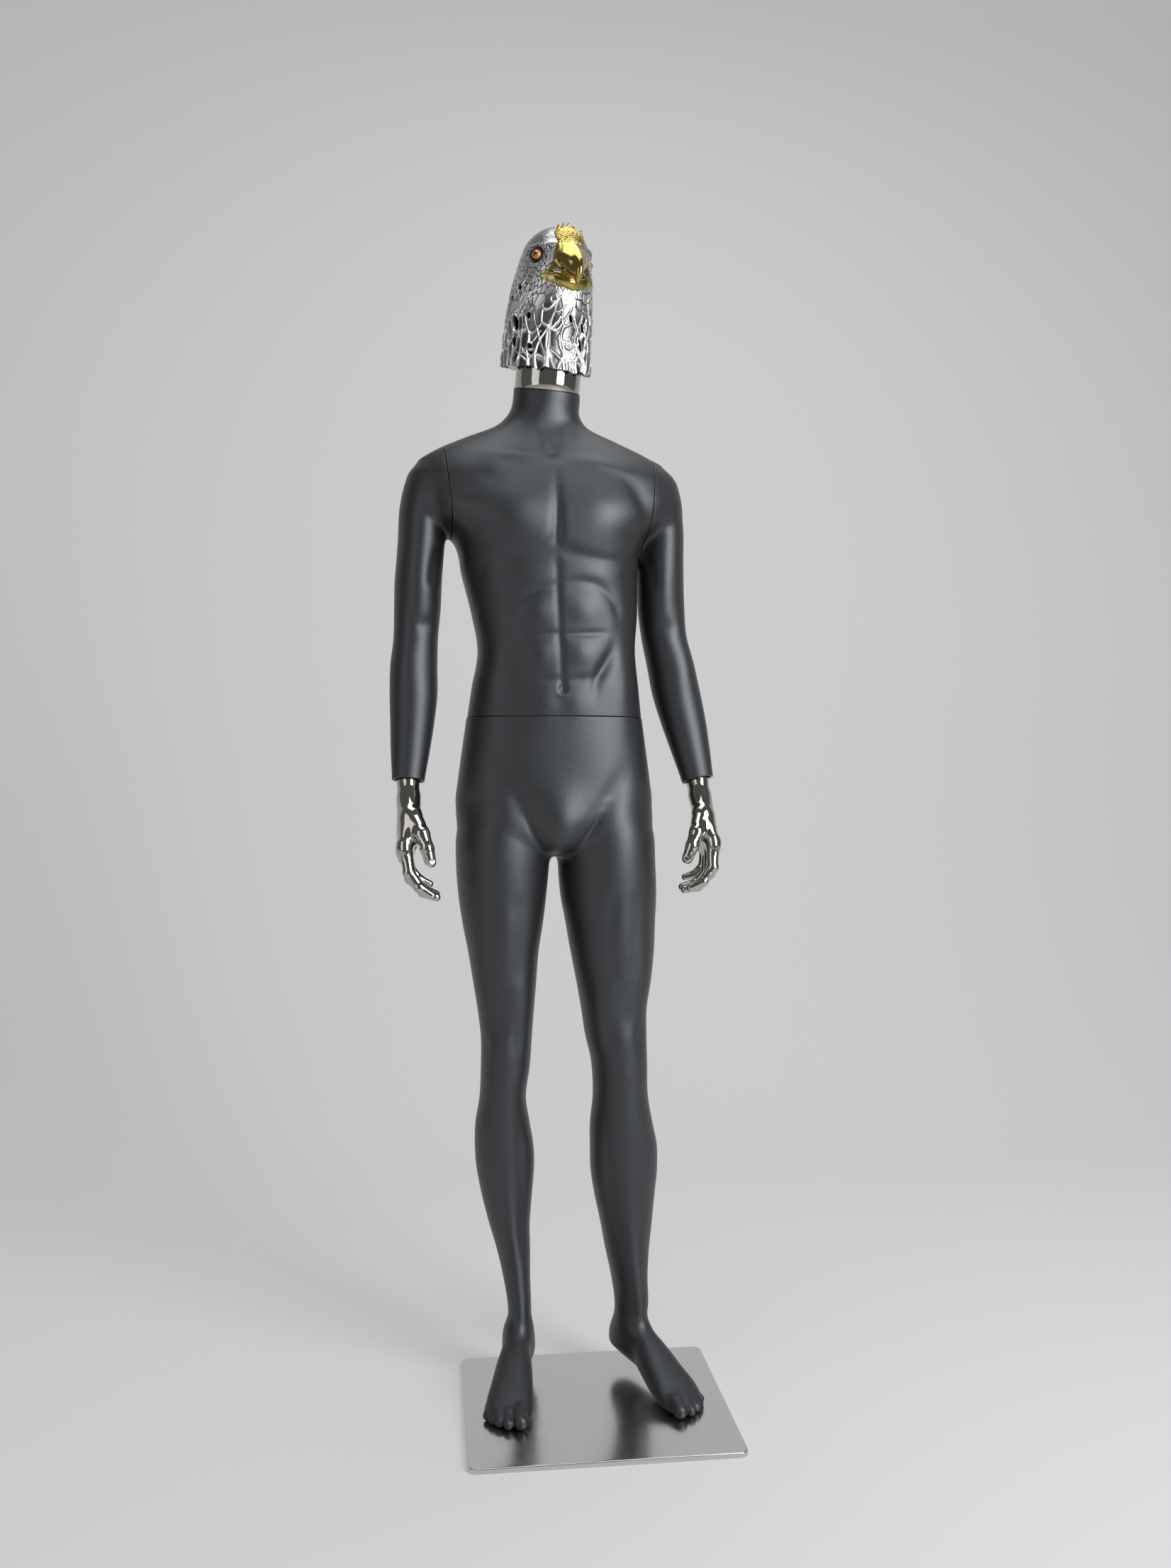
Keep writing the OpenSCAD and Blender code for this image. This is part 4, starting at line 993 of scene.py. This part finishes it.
def face():
    """The gilded face: a skin over the head's front, the hooked beak, the nostrils and the crest."""
    g = Grid((-46, -116, 128), (66, -6, 254), 0.8)
    head = g.loft(HEAD)
    wide = np.interp(g.z.ravel(), *np.array(MASK).T).reshape(1, 1, -1).astype(np.float32)
    across = np.abs(g.x - 10) - wide
    border = np.maximum(np.maximum(across, g.y + 20), np.maximum(139 - g.z, g.z - 242))
    skin = -join(-(np.abs(head - 0.6) - 1.5), -border, 1.6)
    up, down = join(g.loft(UPPER_BEAK), g.loft(RIDGE), 3.0), g.loft(LOWER_BEAK)
    beak = join(up, down, 0.8)
    d = join(skin, beak, 7.0)
    # the mouth line, rising to the corner of the mouth
    mouth = 158 - 7 * np.exp(-(((g.x - 8) / 17) ** 2))
    cut = np.hypot((g.z - mouth) / 1.0, np.maximum(-(beak + 2.4), 0)) - 1.1
    cut = np.maximum(cut, 0.6 - up)
    d = -join(-d, np.where((g.y < -44) & (np.abs(g.x - 10) < 44), cut, 9), 1.5)
    for s in (-1, 1):
        for (cx, cy, cz), (wx, wy, wz) in NOSTRILS:
            e = np.sqrt(((g.x - 10 - s * cx) / wx) ** 2 + ((g.y - cy) / wy) ** 2 + ((g.z - cz) / wz) ** 2)
            d = -join(-d, (e - 1) * min(wx, wz), 0.8)
    d = np.where(head < -2.2, np.maximum(d, -head - 2.2), d)
    # crest
    points = ((-16, 231, 9), (-4, 236, 8), (11, 239, 7.5), (24, 236, 8), (38, 229, 9))
    for k, (x, z, tall) in enumerate(points):
        a = math.radians(-90 + (x - 10) * 0.9)
        root = ring_points(np.array([float(z)]), np.array([a]))[0]
        tip = root + np.array([(x - 10) * 0.1, -1.5, tall])
        rod(g, d, root - (0, 0, 4), root + (tip - root) * 0.5, 4.4, 2.0, 2.5)
        rod(g, d, root + (tip - root) * 0.5, tip, 2.0, 0.6, 1.2)
    v, q = g.mesh(d)
    v = even(v, q, 2)
    n = vertex_normals(v, q)
    crown = step(206, 211, v[:, 2])
    wave = (np.sin(v[:, 0] * 1.9 + np.sin(v[:, 2] * 1.3) * 1.5)
            * np.sin(v[:, 2] * 1.7 + np.sin(v[:, 0] * 1.1) * 1.5))
    rim = np.abs(np.abs(v[:, 0] - 10) - np.interp(v[:, 2], *np.array(MASK).T))
    v = v + n * ((0.55 * crown * wave)
                 + 0.5 * np.exp(-((v[:, 2] - 208.5) / 1.2) ** 2) * (1 + np.sin(v[:, 0] * 1.6))
                 + 0.35 * np.exp(-((rim - 2.5) / 1.2) ** 2) * np.sin(v[:, 2] * 2.2))[:, None]
    mesh = from_arrays("eagle_face", v, q)
    c = v[q].mean(1)
    # Faces inside the nostril hollows take the second, near-black material: painted shade in the hollows.
    dark = np.zeros(len(q), np.int32)
    for s in (-1, 1):
        for (cx, cy, cz), (wx, wy, wz) in NOSTRILS:
            e = ((c[:, 0] - 10 - s * cx) / wx) ** 2 + ((c[:, 1] - cy) / wy) ** 2 + ((c[:, 2] - cz) / wz) ** 2
            dark[e < 1.12] = 1
    mesh.polygons.foreach_set("material_index", dark)
    m = AT_HEAD.copy()
    m.translation = m.translation * 0.001
    mesh.transform(m)
    return mesh


def neck():
    """A chrome tube from the neck seam up into the head, cut level at the top."""
    bm = bmesh.new()
    rows = []
    top = 1649.6
    n = 160
    m = AT_NECK
    inv = axis(m)
    # Radius and height of the rings; None is the level top.
    profile = [(48.6, 0.3), (51.0, 0.3), (51.7, 0.5), (52.0, 1.0), (52.0, 12.0), (52.0, None), (49.5, None),
               (49.5, 5.0)]
    for r, h in profile:
        row = []
        for a in np.linspace(0, 2 * math.pi, n, endpoint=False):
            p = m @ Vector((r * math.cos(a), r * math.sin(a), 0 if h is None else h))
            if h is None:
                p = p + inv * ((top - p.z) / inv.z)
            row.append(bm.verts.new(p * 0.001))
        rows.append(row)
    for a, b in zip(rows, rows[1:] + rows[:1]):
        for k in range(n):
            bm.faces.new((a[k], a[(k + 1) % n], b[(k + 1) % n], b[k]))
    bmesh.ops.recalc_face_normals(bm, faces=bm.faces)
    mesh = bpy.data.meshes.new("neck")
    bm.to_mesh(mesh)
    bm.free()
    return mesh


def eye(k):
    """A glass eye with a raised rim, turned outwards from the head."""
    at = Vector(EYES[k])
    out = (at - Vector((10, -6, 193))).normalized()
    turned = out.to_track_quat("Z", "Y").to_matrix().to_4x4()
    place_at = AT_HEAD @ Matrix.Translation(at) @ turned
    # Radius and height from the pupil's edge to the back of the glass.
    rows = [(1.0, 8.2), (2.2, 7.98), (3.1, 7.62), (3.4, 7.3), (4.4, 6.95), (5.6, 6.1), (6.8, 4.7), (7.6, 2.9),
            (8.0, 0.6), (8.1, -1.0)]
    bm = bmesh.new()
    rings = []
    for r, h in rows:
        rings.append([bm.verts.new((place_at @ Vector((r * math.cos(a), r * math.sin(a), h))) * 0.001)
                      for a in np.linspace(0, 2 * math.pi, 48, endpoint=False)])
    centre = bm.verts.new((place_at @ Vector((0, 0, 8.25))) * 0.001)
    for j in range(48):
        f = bm.faces.new((centre, rings[0][j], rings[0][(j + 1) % 48]))
        f.material_index = 1
    for i, (a, b) in enumerate(zip(rings, rings[1:])):
        for j in range(48):
            f = bm.faces.new((a[j], b[j], b[(j + 1) % 48], a[(j + 1) % 48]))
            f.material_index = 1 if i < 2 else 0
    bmesh.ops.recalc_face_normals(bm, faces=bm.faces)
    mesh = bpy.data.meshes.new("eye")
    bm.to_mesh(mesh)
    bm.free()
    rim = bmesh.new()
    rr = []
    for a in np.linspace(0, 2 * math.pi, 64, endpoint=False):
        wide = 9.4 + 1.2 * abs(math.cos(a)) ** 3
        tall = 8.6
        c = Vector((wide * math.cos(a), tall * math.sin(a), 2.4))
        d = Vector((math.cos(a), math.sin(a), 0))
        rr.append([rim.verts.new((place_at @ (c + d * 1.25 * math.cos(b)
                                              + Vector((0, 0, 1.4 * math.sin(b))))) * 0.001)
                   for b in np.linspace(0, 2 * math.pi, 10, endpoint=False)])
    for a, b in zip(rr, rr[1:] + rr[:1]):
        for j in range(10):
            rim.faces.new((a[j], b[j], b[(j + 1) % 10], a[(j + 1) % 10]))
    bmesh.ops.recalc_face_normals(rim, faces=rim.faces)
    rim_mesh = bpy.data.meshes.new("rim")
    rim.to_mesh(rim_mesh)
    rim.free()
    return mesh, rim_mesh


# ---------------------------------------------------------------- materials
def material(name, colour, metallic=0.0, roughness=0.4, grain=0.0, grain_scale=400.0, spread=0.0,
             spread_scale=30.0, tint=0.0, **extra):
    """A material with fine grain, and with roughness and colour that vary by spread and tint."""
    m = bpy.data.materials.new(name)
    m.use_nodes = True
    t = m.node_tree
    shader = t.nodes["Principled BSDF"]
    shader.inputs["Base Color"].default_value = (*colour, 1)
    shader.inputs["Metallic"].default_value = metallic
    shader.inputs["Roughness"].default_value = roughness
    for k, value in extra.items():
        shader.inputs[k.replace("_", " ")].default_value = value
    where = t.nodes.new("ShaderNodeTexCoord")
    if grain:
        noise = t.nodes.new("ShaderNodeTexNoise")
        noise.inputs["Scale"].default_value = grain_scale
        noise.inputs["Detail"].default_value = 3
        bump = t.nodes.new("ShaderNodeBump")
        bump.inputs["Strength"].default_value = grain
        bump.inputs["Distance"].default_value = 0.0006
        t.links.new(where.outputs["Object"], noise.inputs["Vector"])
        t.links.new(noise.outputs["Fac"], bump.inputs["Height"])
        t.links.new(bump.outputs["Normal"], shader.inputs["Normal"])
    if spread or tint:
        noise = t.nodes.new("ShaderNodeTexNoise")
        noise.inputs["Scale"].default_value = spread_scale
        noise.inputs["Detail"].default_value = 5
        t.links.new(where.outputs["Object"], noise.inputs["Vector"])
        if spread:
            r = t.nodes.new("ShaderNodeMapRange")
            r.inputs["To Min"].default_value = max(roughness - spread, 0.02)
            r.inputs["To Max"].default_value = roughness + spread
            t.links.new(noise.outputs["Fac"], r.inputs["Value"])
            t.links.new(r.outputs["Result"], shader.inputs["Roughness"])
        if tint:
            mix = t.nodes.new("ShaderNodeMix")
            mix.data_type = "RGBA"
            mix.inputs[6].default_value = (*[c * (1 - tint) for c in colour], 1)
            mix.inputs[7].default_value = (*[min(c * (1 + tint), 1) for c in colour], 1)
            t.links.new(noise.outputs["Fac"], mix.inputs[0])
            t.links.new(mix.outputs[2], shader.inputs["Base Color"])
    return m


def plumage():
    """Chrome whose hollows are darkened as painted shade and whose ridges are painted bright, from the tone
    carried by the head's own mesh.
    """
    m = material("plumage", (0.8, 0.8, 0.79), 0.9, 0.26, 0.12, 900)
    t = m.node_tree
    shader = t.nodes["Principled BSDF"]
    tone = t.nodes.new("ShaderNodeAttribute")
    tone.attribute_name = "tone"
    ramp = t.nodes.new("ShaderNodeValToRGB")
    ramp.color_ramp.elements[0].color = (0.012, 0.012, 0.013, 1)
    ramp.color_ramp.elements[1].color = (0.88, 0.88, 0.87, 1)
    ramp.color_ramp.elements.new(0.5).color = (0.3, 0.3, 0.3, 1)
    rough = t.nodes.new("ShaderNodeMapRange")
    rough.inputs["To Min"].default_value = 0.2
    rough.inputs["To Max"].default_value = 0.36
    t.links.new(tone.outputs["Fac"], ramp.inputs["Fac"])
    t.links.new(ramp.outputs["Color"], shader.inputs["Base Color"])
    t.links.new(tone.outputs["Fac"], rough.inputs["Value"])
    t.links.new(rough.outputs["Result"], shader.inputs["Roughness"])
    return m


COAT = material("body_coat", (0.066, 0.071, 0.076), 0.85, 0.41, 0.45, 1300, 0.06, 900, 0.25)
# The chrome's colour is darkened a little and given an olive cast: a painted reflection of the dim, warm
# surroundings.
CHROME = material("chrome", (0.5, 0.485, 0.43), 1.0, 0.07, 0.03, 260, 0.03, 60, 0.05)
GOLD = material("gold", (0.47, 0.36, 0.11), 1.0, 0.17, 0.05, 500, 0.05, 60, 0.15)
AMBER = material("amber", (0.4, 0.17, 0.015), 0.0, 0.12, 0, 400, 0, 260, 0.5, Coat_Weight=1.0,
                 Coat_Roughness=0.04)
PUPIL = material("pupil", (0.004, 0.003, 0.003), 0.0, 0.08, 0, 400, 0.02, 300, 0.3, Coat_Weight=1.0)
# Near black: the colour of the eye rims, and painted shade inside the nostril hollows.
DARK_RIM_AND_NOSTRIL_SHADE = material("dark_rim_and_nostril_shade", (0.012, 0.009, 0.006), 0.3, 0.6, 0.2, 900, 0.1, 200, 0.4)
STEEL = material("base_steel", (0.62, 0.62, 0.62), 1.0, 0.2, 0.05, 300, 0.05, 40)

# ---------------------------------------------------------------- assembly
# Half the gap at the seams and at the wrists, the sockets' radii, and the heights above which a cut applies.
SEAM, WRIST_GAP = 0.3, 0.6
SOCKET, WAIST_SOCKET = 28.4, 46.4
ABOVE_ARMPIT, ABOVE_COLLAR = 1326, 1560
SLEEVE_WALL, SLEEVE_DEPTH = 3.6, 12
WAIST = Vector((-59, 52, 1085))
UP = Vector((0, 0, 1))

meshes = upper_body()
for side in ("right", "left"):
    m, w = AT_SHOULDER[side], AT_WRIST[side]
    c, n = Vector(np.array(m.translation)), axis(m)
    inner, outer = c - n * SEAM, c + n * SEAM
    flat_end(meshes["torso"], inner, n, above=ABOVE_ARMPIT, hole=SOCKET, hole_at=inner)
    flat_end(meshes[side], outer, -n, above=ABOVE_ARMPIT, hole=SOCKET, hole_at=outer)
    flat_end(meshes[side], w.translation + axis(w) * WRIST_GAP, -axis(w), rim=SLEEVE_WALL, depth=SLEEVE_DEPTH)
flat_end(meshes["torso"], WAIST + UP * SEAM, -UP, hole=WAIST_SOCKET)
n = axis(AT_NECK)
flat_end(meshes["torso"], AT_NECK.translation - n * SEAM, n, above=ABOVE_COLLAR, hole=SOCKET)
low = lower_body()
flat_end(low, WAIST - UP * SEAM, UP, hole=WAIST_SOCKET)
place("torso_form", meshes["torso"], "torso", ["torso_shell"], COAT, 50)
for side in ("right", "left"):
    arm = side + "_arm"
    place(arm + "_form", meshes[side], arm, [arm + "_shell"], COAT, 50)
place("lower_body_form", low, "stand_and_legs", ["lower_body_shell"], COAT, 50)
for side in ("right", "left"):
    part = side + "_hand"
    place(part + "_form", hand(side), part, [part], CHROME, 60)
place("neck_form", neck(), "head", ["neck_tube"], CHROME, 40)
place("eagle_head", head_shell(), "head", ["head_shell"], plumage())
o = place("eagle_face", face(), "head", ["upper_beak", "lower_beak"], GOLD, 60)
o.data.materials.append(DARK_RIM_AND_NOSTRIL_SHADE)
for k, side in ((0, "right"), (1, "left")):
    ball, rim = eye(k)
    o = place(side + "_eye_glass", ball, "head", [side + "_eye"], AMBER)
    o.data.materials.append(PUPIL)
    place(side + "_eye_rim", rim, "head", [], DARK_RIM_AND_NOSTRIL_SHADE)


FITTING = material("fitting_steel", (0.5, 0.5, 0.51), 1.0, 0.3, 0.15, 700, 0.1, 120, 0.12)
RUBBER = material("rubber", (0.02, 0.02, 0.021), 0.0, 0.75, 0.6, 900, 0.1, 300, 0.3)
NYLON = material("nylon", (0.78, 0.77, 0.72), 0.0, 0.45, 0.1, 900, 0.06, 200, 0.06, Subsurface_Weight=0.1)


def timber():
    """Birch plywood: stretched fibres and thin dark glue lines between level layers."""
    m = material("timber", (0.62, 0.45, 0.27), 0.0, 0.6, 0.4, 260)
    t = m.node_tree
    shader = t.nodes["Principled BSDF"]
    where = t.nodes.new("ShaderNodeTexCoord")
    stretch = t.nodes.new("ShaderNodeMapping")
    stretch.inputs["Scale"].default_value = (18, 240, 240)
    fibre = t.nodes.new("ShaderNodeTexNoise")
    fibre.inputs["Scale"].default_value = 2
    fibre.inputs["Detail"].default_value = 6
    layer = t.nodes.new("ShaderNodeTexWave")
    layer.bands_direction = "Z"
    layer.inputs["Scale"].default_value = 105
    layer.inputs["Distortion"].default_value = 0.6
    ramp = t.nodes.new("ShaderNodeValToRGB")
    ramp.color_ramp.elements[0].color = (0.4, 0.26, 0.13, 1)
    ramp.color_ramp.elements[1].color = (0.72, 0.55, 0.35, 1)
    dark = t.nodes.new("ShaderNodeMix")
    dark.data_type = "RGBA"
    dark.blend_type = "MULTIPLY"
    line = t.nodes.new("ShaderNodeValToRGB")
    line.color_ramp.elements[0].position = 0.04
    line.color_ramp.elements[0].color = (0.35, 0.25, 0.16, 1)
    line.color_ramp.elements[1].position = 0.16
    dark.inputs[0].default_value = 0.8
    t.links.new(where.outputs["Object"], stretch.inputs["Vector"])
    t.links.new(stretch.outputs["Vector"], fibre.inputs["Vector"])
    t.links.new(where.outputs["Object"], layer.inputs["Vector"])
    t.links.new(fibre.outputs["Fac"], ramp.inputs["Fac"])
    t.links.new(layer.outputs["Fac"], line.inputs["Fac"])
    t.links.new(ramp.outputs["Color"], dark.inputs[6])
    t.links.new(line.outputs["Color"], dark.inputs[7])
    t.links.new(dark.outputs[2], shader.inputs["Base Color"])
    return m


FINISH = {"base_steel": STEEL, "fitting_steel": FITTING, "rubber": RUBBER, "nylon": NYLON, "timber": timber(),
          "chrome": CHROME, "gold": GOLD, "amber": AMBER, "body_coat": COAT}
for part in frame["record"]["subparts"]:
    node = frame["nodes"][part["node"]]
    node.data.materials.clear()
    node.data.materials.append(FINISH[part["material_slot"]])


def plate():
    """The base plate with softly broken edges."""
    lo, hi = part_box("base_plate")
    w, l, r = (hi[0] - lo[0]) / 2, (hi[1] - lo[1]) / 2, 0.014
    bm = bmesh.new()
    rows = []
    for inset, z in ((0.0, lo[2]), (0.0, hi[2] - 0.0016), (0.0002, hi[2] - 0.0009), (0.0006, hi[2] - 0.0004),
                     (0.0012, hi[2] - 0.0001), (0.002, hi[2])):
        row = []
        for cx, cy, a0 in ((w - r, l - r, 0), (r - w, l - r, 90), (r - w, r - l, 180), (w - r, r - l, 270)):
            for a in np.linspace(a0, a0 + 90, 13):
                c, n = math.cos(math.radians(a)), math.sin(math.radians(a))
                row.append(bm.verts.new((cx + (r - inset) * c, cy + (r - inset) * n, z)))
        rows.append(row)
    for a, b in zip(rows, rows[1:]):
        for k in range(len(a)):
            bm.faces.new((a[k], a[(k + 1) % len(a)], b[(k + 1) % len(a)], b[k]))
    bm.faces.new(rows[0][::-1])
    bm.faces.new(rows[-1])
    bmesh.ops.recalc_face_normals(bm, faces=bm.faces)
    mesh = bpy.data.meshes.new("plate")
    bm.to_mesh(mesh)
    bm.free()
    return mesh


place("base_plate_form", plate(), "stand_and_legs", ["base_plate"], STEEL, 30)


# ---------------------------------------------------------------- studio
def area(name, at, look, size, power, colour=(1, 1, 1)):
    """A rectangular light at a place, turned towards another."""
    d = bpy.data.lights.new(name, "AREA")
    d.shape, d.size, d.size_y, d.energy, d.color = "RECTANGLE", size[0], size[1], power, colour
    o = bpy.data.objects.new(name, d)
    bpy.context.scene.collection.objects.link(o)
    o.location = at
    o.rotation_euler = (Vector(look) - Vector(at)).to_track_quat("-Z", "Y").to_euler()
    return o


def studio():
    """A grey paper sweep, three area lights and a dim surround."""
    rows = [(-4.0, 0.0), (1.2, 0.0)]
    rows += [(1.2 + 1.4 * math.sin(a), 1.4 - 1.4 * math.cos(a)) for a in np.linspace(0.05, math.pi / 2, 24)]
    rows += [(2.6, 6.0)]
    v = [(x, y, z) for y, z in rows for x in np.linspace(-7, 7, 15)]
    q = [(k, k + 1, k + 16, k + 15) for r in range(len(rows) - 1) for k in range(r * 15, r * 15 + 14)]
    m = bpy.data.meshes.new("sweep")
    m.from_pydata(v, [], q)
    m.shade_smooth()
    o = bpy.data.objects.new("sweep", m)
    bpy.context.scene.collection.objects.link(o)
    m.materials.append(material("sweep_paper", (0.36, 0.36, 0.365), 0, 0.9, Specular_IOR_Level=0.1,
                                Emission_Color=(1, 1, 1, 1), Emission_Strength=0.3))
    area("key", (1.75, -2.1, 2.0), (0, 0, 1.1), (1.4, 2.5), 105)
    area("fill", (-2.3, -1.9, 1.7), (0, 0, 1.0), (1.4, 2.4), 11)
    area("top", (0.1, 0.0, 3.7), (0, 0.1, 0), (2.6, 1.8), 40)
    w = bpy.data.worlds.new("studio")
    bpy.context.scene.world = w
    w.use_nodes = True
    sky = w.node_tree.nodes["Background"].inputs
    sky["Color"].default_value = (0.8, 0.81, 0.83, 1)
    sky["Strength"].default_value = 0.15


studio()
# The camera worked out from the plate's corners: its place, its dip in degrees and its lens.
DIP = 0.38
cam = bpy.data.objects.new("camera", bpy.data.cameras.new("camera"))
bpy.context.scene.collection.objects.link(cam)
cam.location = (-0.2635, -2.0452, 0.994)
aim = Vector((0.1208, 0.9927, -math.tan(math.radians(DIP))))
cam.rotation_euler = aim.to_track_quat("-Z", "Y").to_euler()
cam.data.sensor_fit = "VERTICAL"
cam.data.sensor_height = 36
cam.data.lens = 1855 / 2213 * 36
cam.data.dof.use_dof = False
bpy.context.scene.camera = cam
bpy.context.scene.view_settings.view_transform = "Standard"
